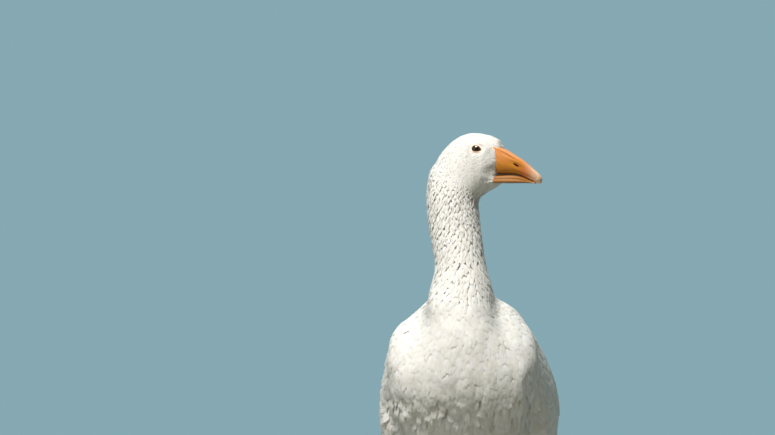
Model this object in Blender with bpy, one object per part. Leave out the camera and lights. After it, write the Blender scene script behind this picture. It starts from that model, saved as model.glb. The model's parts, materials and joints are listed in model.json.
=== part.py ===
"""A heavy white farm goose, life size, standing with its neck up and its head turned to its left.

The goose faces -Y, its left side is +X, +Z is up, and the origin is on the floor, under the middle of the
bird. Sizes are in millimetres. A place is given in the goose's side view as (ahead, up): ahead of the
middle of its back, and above the floor. MM turns them into metres.
"""

import math
from collections import namedtuple

import bmesh
import bpy
from mathutils import Matrix, Vector

MM = 0.001
GAP = 0.3  # between pieces that meet
SEGMENTS = 28  # round the body, neck and head

# ---------------------------------------------------------------- driving sizes

HEAD_TURN = math.radians(78)  # towards the goose's left
NECK_AXIS = 117  # ahead of the middle of the back, where the neck turns
NECK_LEAN = -13.5  # the head end of the neck stands this far to the goose's right

# One section of the body, from the tail to the bill. It runs from its belly point to its back point,
# is half_width wide on each side, and is widest at `lift` of the way up. Fullness 2 is an ellipse, and
# more is squarer, above the widest place only. Bow carries its sides back from its middle, as at the
# edge of the face feathers.
Section = namedtuple("Section", "name back belly half_width lift fullness bow")
SECTIONS = [
    Section("tail root", (-322, 433), (-324, 384), 29, 0.50, 2.1, 0),
    Section("rump", (-272, 449), (-298, 322), 60, 0.50, 2.1, 0),
    Section("vent", (-210, 465), (-252, 250), 89, 0.49, 2.0, 0),
    Section("hips", (-140, 482), (-170, 200), 106, 0.48, 1.95, 0),
    Section("paunch", (-68, 496), (-80, 177), 114, 0.47, 1.95, 0),
    Section("middle", (-4, 506), (12, 189), 115, 0.47, 2.05, 0),
    Section("keel", (44, 513), (99, 218), 113, 0.47, 2.35, 0),
    Section("low breast", (66, 516), (168, 287), 110, 0.50, 2.6, 0),
    Section("breast", (76, 520), (205, 373), 105, 0.48, 2.3, 0),
    Section("crop", (82, 537), (206, 444), 55, 0.48, 2.1, 0),
    Section("neck foot", (84, 565), (187, 505), 42.5, 0.50, 2.0, 0),
    Section("low neck", (82, 596), (169, 561), 38, 0.50, 2.0, 0),
    Section("mid neck", (80, 629), (160, 608), 37, 0.50, 2.0, 0),
    Section("high neck", (79, 666), (155, 646), 37.5, 0.50, 2.0, 0),
    Section("nape", (82, 699), (155, 663), 36, 0.50, 2.0, 0),
    Section("back of head", (93, 728), (161, 670), 31.5, 0.48, 2.0, 0),
    Section("hind crown", (116, 751), (167, 674), 28.5, 0.46, 2.1, 0),
    Section("crown", (146, 761), (174, 678), 27, 0.44, 2.1, 0),
    Section("forehead", (173, 757), (182, 682), 24, 0.42, 2.1, 2),
    Section("brow", (189, 750), (189, 685), 20.5, 0.40, 2.2, 6),
    Section("bill root", (197, 741), (195, 688), 16.5, 0.38, 2.3, 10),
]
UNDERSIDE_FULLNESS = 2.2
PLACE = {section.name: index for index, section in enumerate(SECTIONS)}
LAST_PLACE = len(SECTIONS) - 1

EYE_RADIUS = 9.5
EYE_PLACE = (158, 16.3, 738)  # ahead, side, up, of the ball's centre

WING_FROM, WING_TO = 0.8, 7.1  # along the sections, from behind to the shoulder

FOOT_SIDE = 58  # of each foot joint, from the middle
FOOT_AHEAD = -60
HOCK = (-101, 114)
SHANK_FOOT = 17  # height of the shank's lower end
TOE_OUT = math.radians(4)

# ---------------------------------------------------------------- geometry helpers


def place(ahead, side, up):
    """A point of the side view, in metres in the goose's frame."""
    return Vector((side, -ahead, up)) * MM


def smooth(share):
    """0 to 1 with no corner at either end."""
    share = min(1.0, max(0.0, share))
    return share * share * (3 - 2 * share)


def catmull(before, start, end, after, share):
    """A value on the smooth curve from start to end."""
    return 0.5 * (
        2 * start
        + (end - before) * share
        + (2 * before - 5 * start + 4 * end - after) * share**2
        + (3 * start - before - 3 * end + after) * share**3
    )


def along(values, where):
    """A value or a tuple of values read from a list at a fractional index."""
    index = min(len(values) - 2, max(0, int(math.floor(where))))
    four = [values[min(len(values) - 1, max(0, index + step))] for step in (-1, 0, 1, 2)]
    if isinstance(four[0], tuple):
        return tuple(catmull(*parts, where - index) for parts in zip(*four))
    return catmull(*four, where - index)


def link(name, mesh_data, material):
    """Turns a bmesh into a smooth-shaded object of the scene."""
    mesh = bpy.data.meshes.new(name)
    mesh_data.to_mesh(mesh)
    mesh_data.free()
    mesh.shade_smooth()
    if material:
        mesh.materials.append(material)
    made = bpy.data.objects.new(name, mesh)
    bpy.context.scene.collection.objects.link(made)
    return made


def new_object(name, mesh_data, material):
    """An object of triangles that point out."""
    bmesh.ops.recalc_face_normals(mesh_data, faces=mesh_data.faces)
    bmesh.ops.triangulate(mesh_data, faces=mesh_data.faces, quad_method="SHORT_EDGE")
    return link(name, mesh_data, material)


def loft(name, rings, material):
    """A closed skin over rings of equal count, each end closed round its middle point."""
    mesh_data = bmesh.new()
    rows = [[mesh_data.verts.new(point) for point in ring] for ring in rings]
    count = len(rows[0])
    for lower, upper in zip(rows, rows[1:]):
        for i in range(count):
            j = (i + 1) % count
            mesh_data.faces.new((lower[i], lower[j], upper[j], upper[i]))
    for row, ring in ((rows[0], rings[0]), (rows[-1], rings[-1])):
        middle = mesh_data.verts.new(sum(ring, Vector()) / count)
        for i in range(count):
            mesh_data.faces.new((row[i], row[(i + 1) % count], middle))
    return new_object(name, mesh_data, material)


def round_ring(centre, across, upright, half_width, half_height, count):
    """A ring of an ellipse about centre, in the plane of two unit directions."""
    turns = [2 * math.pi * i / count for i in range(count)]
    return [
        centre + across * (half_width * MM * math.sin(a)) - upright * (half_height * MM * math.cos(a))
        for a in turns
    ]


def helper(obj):
    """Marks an object as a cutter, which isn't part of the model."""
    obj.hide_render = True
    obj.display_type = "WIRE"
    return obj


def boolean(obj, other, operation):
    modifier = obj.modifiers.new(operation.lower(), "BOOLEAN")
    modifier.operation = operation
    modifier.solver = "EXACT"
    modifier.object = other


def swollen(obj, name, by=GAP):
    """A copy of obj that is larger by a gap, to cut its neighbours with."""
    copy = helper(obj.copy())
    copy.name = name
    bpy.context.scene.collection.objects.link(copy)
    push = copy.modifiers.new("gap", "DISPLACE")
    push.mid_level = 0
    push.strength = by * MM
    return copy


def material(name, colour, roughness, metallic=0.0):
    made = bpy.data.materials.new(name)
    made.use_nodes = True
    shader = made.node_tree.nodes["Principled BSDF"]
    shader.inputs["Base Color"].default_value = (*colour, 1)
    shader.inputs["Roughness"].default_value = roughness
    shader.inputs["Metallic"].default_value = metallic
    return made


# ---------------------------------------------------------------- trunk, neck and head


def head_turn(where):
    """How far the section at this place is turned, from none at the neck's foot to all at the nape."""
    start, end = PLACE["neck foot"], PLACE["nape"]
    return HEAD_TURN * smooth((where - start) / (end - start))


def lean(where):
    """The sideways stand of the neck at this place."""
    start, end = PLACE["crop"], PLACE["high neck"]
    return NECK_LEAN * smooth((where - start) / (end - start))


def turned(point, angle=HEAD_TURN, side=NECK_LEAN):
    """Turns a point about the neck's upright axis, and sets it to the side. By default as the head is."""
    axis = place(NECK_AXIS, 0, 0)
    return Matrix.Rotation(angle, 3, "Z") @ (point - axis) + axis + place(0, side, 0)


def body_point(where, angle):
    """A point of the feather surface: angle 0 is under the belly, pi/2 the left side, pi the back."""
    back = along([s.back for s in SECTIONS], where)
    belly = along([s.belly for s in SECTIONS], where)
    half_width = along([s.half_width for s in SECTIONS], where)
    lift = along([s.lift for s in SECTIONS], where)
    fullness = along([s.fullness for s in SECTIONS], where)
    bow = along([s.bow for s in SECTIONS], where)
    sine, cosine = math.sin(angle), math.cos(angle)
    if cosine > 0:
        power = 2 / min(fullness, UNDERSIDE_FULLNESS)
        height = lift * (1 - cosine**power)
    else:
        power = 2 / fullness
        height = lift + (1 - lift) * abs(cosine) ** power
    share = abs(sine) ** power
    ahead = belly[0] + (back[0] - belly[0]) * height - bow * share**2
    up = belly[1] + (back[1] - belly[1]) * height
    return place(ahead, math.copysign(half_width * share, sine), up)


def posed_ring(where, push=0.0):
    """The section as posed, pushed along the body by so many millimetres."""
    angles = [2 * math.pi * i / SEGMENTS for i in range(SEGMENTS)]
    ring = [body_point(where, angle) for angle in angles]
    back = body_point(where, math.pi)
    belly = body_point(where, 0)
    forward = Vector((1, 0, 0)).cross(back - belly).normalized()
    return [turned(point + forward * (push * MM), head_turn(where), lean(where)) for point in ring]


def body_length(name, start, end, bands, finish):
    """A length of the body between two places. It stands half a gap back from each cut end."""
    rings = []
    for band in range(bands + 1):
        where = start + (end - start) * band / bands
        push = 0.0
        if band == 0 and start > 0:
            push = GAP / 2
        if band == bands and end < LAST_PLACE:
            push = -GAP / 2
        rings.append(posed_ring(where, push))
    return loft(name, rings, finish)


def make_eye(side, finish):
    ahead, out, up = EYE_PLACE
    mesh_data = bmesh.new()
    bmesh.ops.create_uvsphere(mesh_data, u_segments=14, v_segments=8, radius=EYE_RADIUS * MM)
    bmesh.ops.rotate(mesh_data, verts=mesh_data.verts, matrix=Matrix.Rotation(math.pi / 2, 3, "Y"))
    for vertex in mesh_data.verts:
        vertex.co = turned(vertex.co + place(ahead, side * out, up))
    return new_object("eye_left" if side > 0 else "eye_right", mesh_data, finish)


# ---------------------------------------------------------------- bill

# Each section of a half of the bill: top and bottom in the side view, and half its width at its widest.
UPPER_BILL = [
    ((184, 742), (174, 701), 15.5),
    ((197, 740), (185, 701.5), 16.5),
    ((213, 727.5), (203, 701.8), 15.2),
    ((227, 716.5), (220, 699), 13.0),
    ((239, 708), (234, 694), 11.0),
    ((247, 701), (244, 689.2), 9.0),
    ((251.5, 694), (249.5, 687.2), 5.5),
]
LOWER_BILL = [
    ((174, 699.5), (176, 689.5), 13.5),
    ((188, 699.8), (188, 688.3), 14.2),
    ((205, 699.8), (205, 687.8), 13.0),
    ((221, 697.2), (221, 687.6), 11.0),
    ((234, 692.2), (234, 687.4), 8.6),
    ((243, 688.2), (243, 686.6), 5.0),
]


UPPER_RIDGE = 0.55  # how much narrower the top is than the lower edge
LOWER_TROUGH = -0.35  # the lower half narrows downwards instead


def bill_ring(top, bottom, half_width, ridge, count=18):
    """A bill section. Ridge above 0 narrows its top, and below 0 its underside."""
    points = []
    for i in range(count):
        angle = 2 * math.pi * i / count
        height = 0.5 - 0.5 * math.cos(angle)
        widest = (1 - height) if ridge > 0 else height
        side = half_width * math.sin(angle) * (1 - abs(ridge) + abs(ridge) * 1.25 * widest**0.55)
        ahead = bottom[0] + (top[0] - bottom[0]) * height
        up = bottom[1] + (top[1] - bottom[1]) * height
        points.append(turned(place(ahead, side, up)))
    return points


def bill_half(name, sections, ridge, finish):
    steps = 2 * (len(sections) - 1)
    rings = [
        bill_ring(
            along([s[0] for s in sections], i / 2),
            along([s[1] for s in sections], i / 2),
            along([s[2] for s in sections], i / 2),
            ridge,
        )
        for i in range(steps + 1)
    ]
    return loft(name, rings, finish)


# ---------------------------------------------------------------- wings and tail


# The folded wing at even steps from its rear to its shoulder: its lower and upper edge, in degrees
# round the body from the belly, and how far it stands out at its thickest.
WING = [
    (112, 148, 4),
    (101, 162, 10),
    (86, 168, 15),
    (75, 170, 18),
    (68, 168, 17),
    (68, 158, 10),
    (84, 128, 2),
]
WING_EDGE = 0.9  # how thick it ends
WING_ROOT = 3.0  # how far it starts under the trunk's surface, before the trunk is cut from it


def wing_thickness(swell, across):
    """Thin at both edges, and fullest nearer the lower one."""
    return WING_EDGE + swell * math.sin(math.pi * across**0.8) ** 0.6


def wing_panel(side, finish, lengthwise=16, crosswise=8):
    """The wing as it lies folded on the side of the body, from just under the trunk's surface outwards."""
    mesh_data = bmesh.new()
    inner, outer = [], []
    small = 0.01
    for i in range(lengthwise + 1):
        share = i / lengthwise
        where = WING_FROM + (WING_TO - WING_FROM) * share
        low, high, swell = along(WING, share * (len(WING) - 1))
        inner.append([])
        outer.append([])
        for j in range(crosswise + 1):
            across = j / crosswise
            angle = math.radians(low + (high - low) * across)
            point = body_point(where, angle)
            run = body_point(where + small, angle) - body_point(where - small, angle)
            rise = body_point(where, angle + small) - body_point(where, angle - small)
            out = rise.cross(run).normalized()
            for rows, offset in ((inner, -WING_ROOT), (outer, wing_thickness(swell, across))):
                corner = point + out * (offset * MM)
                corner.x *= side
                rows[-1].append(mesh_data.verts.new(corner))
    for i in range(lengthwise):
        for j in range(crosswise):
            for rows in (inner, outer):
                mesh_data.faces.new((rows[i][j], rows[i + 1][j], rows[i + 1][j + 1], rows[i][j + 1]))
    for i in range(lengthwise):
        for j in (0, crosswise):
            mesh_data.faces.new((inner[i][j], inner[i + 1][j], outer[i + 1][j], outer[i][j]))
    for j in range(crosswise):
        for i in (0, lengthwise):
            mesh_data.faces.new((inner[i][j], inner[i][j + 1], outer[i][j + 1], outer[i][j]))
    return new_object("wing_left" if side > 0 else "wing_right", mesh_data, finish)


# The folded hand feathers: centre (ahead, side, up), half height, half thickness, and outward slope.
WING_TIP = [
    ((-150, 84, 436), 18, 2.0, 34),
    ((-200, 75, 436), 33, 6.0, 38),
    ((-255, 56, 435), 30, 6.0, 44),
    ((-310, 36, 436), 23, 5.0, 50),
    ((-358, 21, 441), 14, 3.4, 58),
    ((-390, 13, 446), 5, 2.0, 62),
]


def wing_tip(side, finish):
    rings = []
    for i in range(2 * (len(WING_TIP) - 1) + 1):
        centre, half_height, half_thickness, slope = (
            along([s[k] for s in WING_TIP], i / 2) for k in range(4)
        )
        lean_angle = math.radians(slope)
        out = Vector((side * math.cos(lean_angle), 0, math.sin(lean_angle)))
        upright = Vector((-side * math.sin(lean_angle), 0, math.cos(lean_angle)))
        middle = place(centre[0], side * centre[1], centre[2])
        rings.append(round_ring(middle, out, upright, half_thickness, half_height, 10))
    return helper(loft("hand_left" if side > 0 else "hand_right", rings, finish))


# The tail: (ahead, up), half width, half height. It starts on the end of the trunk.
TAIL = [
    ((-345, 411), 38, 19),
    ((-370, 416), 47, 12),
    ((-398, 423), 55, 7),
    ((-424, 430), 58, 3.8),
    ((-442, 435), 50, 2.4),
    ((-450, 437), 36, 1.4),
]


def make_tail(finish):
    """A flat fan of stiff feathers that grows out of the trunk's end."""
    rings = [posed_ring(0, -GAP)]
    for (ahead, up), half_width, half_height in TAIL:
        centre = place(ahead, 0, up)
        ring = round_ring(centre, Vector((1, 0, 0)), Vector((0, 0, 1)), half_width, half_height, SEGMENTS)
        rings.append(ring)
    return loft("tail", rings, finish)


# ---------------------------------------------------------------- legs and feet

# The feathered thigh: centre (ahead, side, up), half width and half depth.
THIGH = [
    ((-40, 48, 282), 22, 40),
    ((-54, 54, 240), 36, 56),
    ((-68, 58, 198), 33, 46),
    ((-84, 59, 162), 21, 27),
    ((-96, 58, 136), 13, 15.5),
    ((-100, 58, 124), 11, 12.5),
]
# The bare shank: share of the way from hock to foot, half width and half depth.
SHANK = [
    (0.0, 8.4, 9.4),
    (0.10, 9.2, 10.2),
    (0.22, 7.4, 8.8),
    (0.5, 6.3, 8.0),
    (0.8, 6.4, 7.8),
    (0.93, 7.6, 8.0),
    (1.0, 8.4, 7.8),
]


def make_thigh(side, finish):
    rings = []
    for i in range(2 * (len(THIGH) - 1) + 1):
        centre, half_width, half_depth = (along([s[k] for s in THIGH], i / 2) for k in range(3))
        middle = place(centre[0], side * centre[1], centre[2])
        rings.append(round_ring(middle, Vector((1, 0, 0)), Vector((0, 1, 0)), half_width, half_depth, 18))
    return loft("thigh_left" if side > 0 else "thigh_right", rings, finish)


def make_shank(side, finish):
    top = Vector((THIGH[-1][0][0], THIGH[-1][0][2] - GAP))
    foot = Vector((FOOT_AHEAD, SHANK_FOOT + GAP))
    rings = []
    for share, half_width, half_depth in SHANK:
        spot = top.lerp(foot, share)
        spot.x += (HOCK[0] - top.x) * math.sin(math.pi * min(1, share * 4)) * 0.5
        middle = place(spot.x, side * FOOT_SIDE, spot.y)
        rings.append(round_ring(middle, Vector((1, 0, 0)), Vector((0, 1, 0)), half_width, half_depth, 12))
    return loft("shank_left" if side > 0 else "shank_right", rings, finish)


# Toes from the inner to the outer: angle outwards, length, half width at the root and at the end.
TOES = [(-27, 66, 5.2, 3.6), (-1, 88, 5.6, 3.8), (24, 80, 5.4, 3.6)]
TOE_HEIGHT = 0.92  # of its width
TOE_LIFT = 0.82  # of its half height: its middle is this far up, and what would be lower is flat
CLAW = 11
CLAW_RINGS = [(0.15, 2.4, 3.4), (0.6, 1.8, 2.6), (1.0, 0.8, 1.0)]  # share of its length, radius, height
ARCH = 4.0  # the toes' roots clear the floor, out to ARCH_END of the way along them
ARCH_END = 0.45
WEB_BOTTOM, WEB_TOP = 0.4, 2.6
WEB_REACH = 0.93  # of the toes' length
WEB_DIP = 0.10  # how far the web's edge hangs back between two toes
HIND_TOE_ANGLE = -20
HIND_TOE_BASE = (-4, -3)  # ahead of the foot joint, and outwards
HIND_TOE = [(2, 9, 4.0), (10, 7.5, 3.6), (18, 5.2, 3.2), (24, 3.6, 2.2), (29, 2.0, 0.8)]  # reach, up, radius
KNOB = [(2, 8.5, 9.5), (6.3, 10, 10.5), (11, 9.8, 9.5), (SHANK_FOOT, 8.6, 7.8)]  # up, half width and depth


def foot_axes(angle):
    """The direction of a left toe over the floor, and the direction across it."""
    out = TOE_OUT + math.radians(angle)
    forward = Vector((math.sin(out), -math.cos(out), 0))
    return forward, forward.cross(Vector((0, 0, 1)))


def make_toe(angle, length, root, end, finish):
    """A padded toe with three joints and a blunt claw, flat where it stands."""
    forward, across = foot_axes(angle)
    base = place(FOOT_AHEAD, FOOT_SIDE, 0)
    rings = []
    steps = 9
    for i in range(steps + 1):
        share = i / steps
        joint = 0.9 + 0.14 * abs(math.cos(3 * math.pi * share))
        half_width = (root + (end - root) * share) * joint
        half_height = half_width * TOE_HEIGHT
        if i == steps:
            half_width, half_height = half_width * 0.6, half_height * 0.6
        centre = base + forward * (length * share * MM)
        arch = ARCH * (1 - smooth(share / ARCH_END))
        centre.z = (half_height * TOE_LIFT + arch) * MM
        rings.append(round_ring(centre, across, Vector((0, 0, 1)), half_width, half_height, 8))
    for share, radius, height in CLAW_RINGS:
        centre = base + forward * ((length + CLAW * share) * MM)
        centre.z = height * MM
        rings.append(round_ring(centre, across, Vector((0, 0, 1)), radius, radius * 1.05, 8))
    for ring in rings:
        for point in ring:
            point.z = max(0.0, point.z)
    return helper(loft("toe", rings, finish))


def make_web(finish):
    """The sheet between the toes, with its front edge curving back between them."""
    base = place(FOOT_AHEAD, FOOT_SIDE, 0)
    edge = []
    steps = 6
    for first, second in zip(TOES, TOES[1:]):
        for i in range(steps + (second is TOES[-1])):
            share = i / steps
            angle = first[0] + (second[0] - first[0]) * share
            length = first[1] + (second[1] - first[1]) * share
            reach = length * (WEB_REACH - WEB_DIP * math.sin(math.pi * share))
            edge.append(base + foot_axes(angle)[0] * (reach * MM))
    mesh_data = bmesh.new()
    heel = base - foot_axes(0)[0] * (3 * MM)
    sheets = []
    for level in (WEB_BOTTOM, WEB_TOP):
        tip = mesh_data.verts.new(heel + Vector((0, 0, (level + ARCH * 0.8) * MM)))
        rim = [mesh_data.verts.new(point + Vector((0, 0, level * MM))) for point in edge]
        for first, second in zip(rim, rim[1:]):
            mesh_data.faces.new((tip, first, second))
        sheets.append([tip] + rim)
    for i in range(len(sheets[0])):
        j = (i + 1) % len(sheets[0])
        mesh_data.faces.new((sheets[0][i], sheets[0][j], sheets[1][j], sheets[1][i]))
    return new_object("foot_left", mesh_data, finish)


def make_knob(finish):
    """The joint above the toes, with a flat top that carries the shank."""
    rings = []
    for up, half_width, half_depth in KNOB:
        centre = place(FOOT_AHEAD, FOOT_SIDE, up)
        rings.append(round_ring(centre, Vector((1, 0, 0)), Vector((0, 1, 0)), half_width, half_depth, 12))
    return helper(loft("knob", rings, finish))


def make_hind_toe(finish):
    """The small hind toe, on the inner side of the foot joint."""
    forward, across = foot_axes(HIND_TOE_ANGLE)
    base = place(FOOT_AHEAD + HIND_TOE_BASE[0], FOOT_SIDE + HIND_TOE_BASE[1], 0)
    rings = []
    for reach, height, radius in HIND_TOE:
        centre = base - forward * (reach * MM)
        centre.z = height * MM
        rings.append(round_ring(centre, across, Vector((0, 0, 1)), radius, radius, 8))
    return helper(loft("hind_toe", rings, finish))


def make_left_foot(finish):
    """Three webbed toes, the joint above them and the hind toe, as one solid."""
    foot = make_web(finish)
    for angle, length, root, end in TOES:
        boolean(foot, make_toe(angle, length, root, end, finish), "UNION")
    boolean(foot, make_knob(finish), "UNION")
    boolean(foot, make_hind_toe(finish), "UNION")
    return foot


def mirrored(obj, name, finish):
    """A copy of obj, as its modifiers leave it, on the goose's other side."""
    bpy.context.view_layer.update()
    mesh_data = bmesh.new()
    mesh_data.from_object(obj, bpy.context.evaluated_depsgraph_get())
    for vertex in mesh_data.verts:
        vertex.co.x *= -1
    bmesh.ops.reverse_faces(mesh_data, faces=mesh_data.faces)
    return link(name, mesh_data, finish)


# ---------------------------------------------------------------- the goose


def middle_of_floor():
    """Where the middle of the goose's bounding box falls on the floor."""
    bpy.context.view_layer.update()
    graph = bpy.context.evaluated_depsgraph_get()
    corners = []
    for obj in bpy.context.scene.objects:
        if not obj.hide_render:
            corners += [Vector(corner) for corner in obj.evaluated_get(graph).bound_box]
    low = [min(corner[axis] for corner in corners) for axis in (0, 1)]
    high = [max(corner[axis] for corner in corners) for axis in (0, 1)]
    return Vector(((low[0] + high[0]) / 2, (low[1] + high[1]) / 2, 0))


def stand_on_origin():
    """Moves every mesh so that the origin is on the floor under the middle of the goose."""
    shift = Matrix.Translation(-middle_of_floor())
    for mesh in {obj.data for obj in bpy.context.scene.objects}:
        mesh.transform(shift)


def make_goose():
    feathers = material("white_feathers", (0.86, 0.85, 0.82), 0.85)
    orange_bill = material("bill_orange", (0.85, 0.33, 0.05), 0.42)
    orange_legs = material("leg_orange", (0.82, 0.30, 0.05), 0.55)
    dark_eye = material("eye_brown", (0.05, 0.025, 0.015), 0.08)

    neck_cut, nape_cut = PLACE["neck foot"], PLACE["nape"]
    neck_middle = (neck_cut + nape_cut) / 2
    trunk = body_length("trunk", 0, neck_cut, 20, feathers)
    body_length("neck_lower", neck_cut, neck_middle, 4, feathers)
    body_length("neck_upper", neck_middle, nape_cut, 4, feathers)
    head = body_length("head", nape_cut, LAST_PLACE, 13, feathers)
    make_tail(feathers)

    trunk_cutter = swollen(trunk, "trunk_cutter")
    head_cutter = swollen(head, "head_cutter")
    bill_upper = bill_half("bill_upper", UPPER_BILL, UPPER_RIDGE, orange_bill)
    bill_lower = bill_half("bill_lower", LOWER_BILL, LOWER_TROUGH, orange_bill)
    boolean(bill_upper, head_cutter, "DIFFERENCE")
    boolean(bill_lower, head_cutter, "DIFFERENCE")

    for side in (1, -1):
        eye = make_eye(side, dark_eye)
        boolean(head, swollen(eye, "socket_left" if side > 0 else "socket_right"), "DIFFERENCE")
        wing = wing_panel(side, feathers)
        boolean(wing, wing_tip(side, feathers), "UNION")
        boolean(wing, trunk_cutter, "DIFFERENCE")
        boolean(make_thigh(side, feathers), trunk_cutter, "DIFFERENCE")
        make_shank(side, orange_legs)
    mirrored(make_left_foot(orange_legs), "foot_right", orange_legs)


for leftover in list(bpy.data.objects):
    bpy.data.objects.remove(leftover)
make_goose()
stand_on_origin()
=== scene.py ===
import json
import math
import time
from itertools import product
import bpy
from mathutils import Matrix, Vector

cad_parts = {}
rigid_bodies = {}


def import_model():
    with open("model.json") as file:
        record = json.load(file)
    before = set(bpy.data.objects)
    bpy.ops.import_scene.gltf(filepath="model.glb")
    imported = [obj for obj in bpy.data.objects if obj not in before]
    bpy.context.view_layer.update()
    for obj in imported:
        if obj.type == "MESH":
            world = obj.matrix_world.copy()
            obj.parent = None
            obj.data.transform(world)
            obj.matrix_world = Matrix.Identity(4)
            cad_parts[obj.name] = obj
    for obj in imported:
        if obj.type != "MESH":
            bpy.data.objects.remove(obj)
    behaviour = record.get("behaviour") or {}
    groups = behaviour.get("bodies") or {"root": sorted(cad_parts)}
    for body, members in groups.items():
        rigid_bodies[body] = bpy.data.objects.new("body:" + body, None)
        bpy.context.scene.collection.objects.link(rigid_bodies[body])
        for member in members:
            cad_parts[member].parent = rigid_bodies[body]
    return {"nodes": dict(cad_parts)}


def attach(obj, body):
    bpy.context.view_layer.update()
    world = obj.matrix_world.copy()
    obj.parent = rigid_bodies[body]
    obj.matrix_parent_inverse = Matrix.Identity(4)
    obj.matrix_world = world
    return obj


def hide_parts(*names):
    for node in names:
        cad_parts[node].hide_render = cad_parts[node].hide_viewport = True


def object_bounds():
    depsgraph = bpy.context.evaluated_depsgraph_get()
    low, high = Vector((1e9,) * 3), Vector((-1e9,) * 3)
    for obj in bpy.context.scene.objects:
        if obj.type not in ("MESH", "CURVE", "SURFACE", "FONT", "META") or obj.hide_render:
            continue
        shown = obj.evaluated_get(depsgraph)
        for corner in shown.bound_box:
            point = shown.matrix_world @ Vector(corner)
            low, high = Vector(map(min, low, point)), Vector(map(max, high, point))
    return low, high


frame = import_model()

from types import SimpleNamespace

import bpy
import numpy as np
from mathutils import Matrix, Vector, noise as fieldNoise
from mathutils.bvhtree import BVHTree

# A heavy white farm goose, life size. It faces -Y and its left side is +X. A place is given as (ahead,
# side, up) in millimetres: ahead of the middle of its back, to its left, and above the floor. On the head
# the three are measured as if the head looked straight ahead, before the neck turns it.

mm = 0.001
startTime = time.time()
cadBox = [list(corner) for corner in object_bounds()]
goose = {"tailReach": 450, "neckAxis": 117, "headTurn": 78, "neckLean": -13.5}
backY = cadBox[1][1] - goose["tailReach"] * mm  # where ahead is 0
bothSides = ((1, "Left"), (-1, "Right"))


def report(stage):
    print(f"goose: {stage} ({time.time() - startTime:.0f} s)")


def place(ahead, side, up):
    return Vector((side * mm, backY - ahead * mm, up * mm))


neckFoot = place(goose["neckAxis"], 0, 0)
headSpin = Matrix.Rotation(math.radians(goose["headTurn"]), 3, "Z")


def onHead(ahead, side, up):  # where a place of the straight head comes to lie on the turned head
    turned = headSpin @ (place(ahead, side, up) - neckFoot) + neckFoot
    return turned + Vector((goose["neckLean"] * mm, 0, 0))


def bodyPlaces(points):  # (ahead, side, up) in mm of many points at once
    return np.column_stack(((backY - points[:, 1]), points[:, 0], points[:, 2])) / mm


def headPlaces(points):  # the same, measured on the straight head
    moved = points - np.array(neckFoot) - np.array((goose["neckLean"] * mm, 0, 0))
    return bodyPlaces(moved @ np.array(headSpin) + np.array(neckFoot))


def headDirections(ahead, side, up):  # directions of the straight head, as rows, in the goose's frame
    return np.column_stack((side, -ahead, up)) @ np.array(headSpin).T


def ease(values, start, end):  # 0 at start and 1 at end, smooth between; start may be the larger
    share = np.clip((np.asarray(values, float) - start) / (end - start), 0, 1)
    return share * share * (3 - 2 * share)


def bell(gap, width):  # 1 at a gap of 0, falling off over the width
    return np.exp(-((gap / width) ** 2))


def hill(values, height, middle, width):
    return height * bell(values - middle, width)


def unit(rows):
    return rows / np.maximum(np.linalg.norm(rows, axis=-1, keepdims=True), 1e-12)


def turnedBy(x, y, degrees):  # a place in a plane, turned about 0
    angle = math.radians(degrees)
    return x * math.cos(angle) - y * math.sin(angle), x * math.sin(angle) + y * math.cos(angle)


def deselectAll():
    for obj in bpy.context.view_layer.objects:
        obj.select_set(False)


def pick(*objs):  # selects these alone, with the first one active
    deselectAll()
    for obj in objs:
        obj.select_set(True)
    bpy.context.view_layer.objects.active = objs[0]


def joined(objs):
    pick(*objs)
    if len(objs) > 1:
        bpy.ops.object.join()
    return objs[0]


def edited(obj, operator, **values):  # an edit-mode operator on the whole of a mesh
    pick(obj)
    bpy.ops.object.mode_set(mode="EDIT")
    bpy.ops.mesh.select_all(action="SELECT")
    operator(**values)
    bpy.ops.object.mode_set(mode="OBJECT")


def applied(obj, kind, **values):  # adds a modifier with these values and applies it
    pick(obj)
    modifier = obj.modifiers.new(kind.lower(), kind)
    for name, value in values.items():
        setattr(modifier, name, value)
    bpy.ops.object.modifier_apply(modifier=modifier.name)


def faceOutwards(obj):
    edited(obj, bpy.ops.mesh.normals_make_consistent, inside=False)


def linked(name, data):
    obj = bpy.data.objects.new(name, data)
    bpy.context.scene.collection.objects.link(obj)
    return obj


def newMesh(name, points, faces, material):
    mesh = bpy.data.meshes.new(name)
    mesh.from_pydata([tuple(point) for point in points], [], faces)
    mesh.shade_smooth()
    if material:
        mesh.materials.append(material)
    return linked(name, mesh)


def ringFaces(rows, sides, closed=False):  # between rings of equal count; closed joins the last to the first
    faces = []
    for row in range(rows if closed else rows - 1):
        after = (row + 1) % rows
        for i in range(sides):
            j = (i + 1) % sides
            faces.append((row * sides + i, row * sides + j, after * sides + j, after * sides + i))
    return faces


def loftRings(name, rings, material):  # a closed skin over rings of equal count
    count = len(rings[0])
    points = [point for ring in rings for point in ring]
    faces = ringFaces(len(rings), count)
    for start, ring in ((0, rings[0]), ((len(rings) - 1) * count, rings[-1])):
        middle = len(points)
        points.append(np.mean(np.array(ring), axis=0))
        faces += [(start + i, start + (i + 1) % count, middle) for i in range(count)]
    obj = newMesh(name, points, faces, material)
    faceOutwards(obj)
    return obj


def copyOfNodes(name, nodes):  # one merged mesh from copies of CAD nodes
    made = joined([linked(name, frame["nodes"][node].data.copy()) for node in nodes])
    made.data.materials.clear()
    edited(made, bpy.ops.mesh.remove_doubles, threshold=0.02 * mm)
    return made


def finished(obj, slotName, *nodes):
    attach(obj, "root")
    if nodes:
        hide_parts(*nodes)


def readAll(items, name, width, kind=np.float32):  # one value of every item, as rows
    flat = np.empty(len(items) * width, kind)
    items.foreach_get(name, flat)
    return flat.reshape(-1, width)


def pointsOf(obj):
    return readAll(obj.data.vertices, "co", 3).astype(float)


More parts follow.
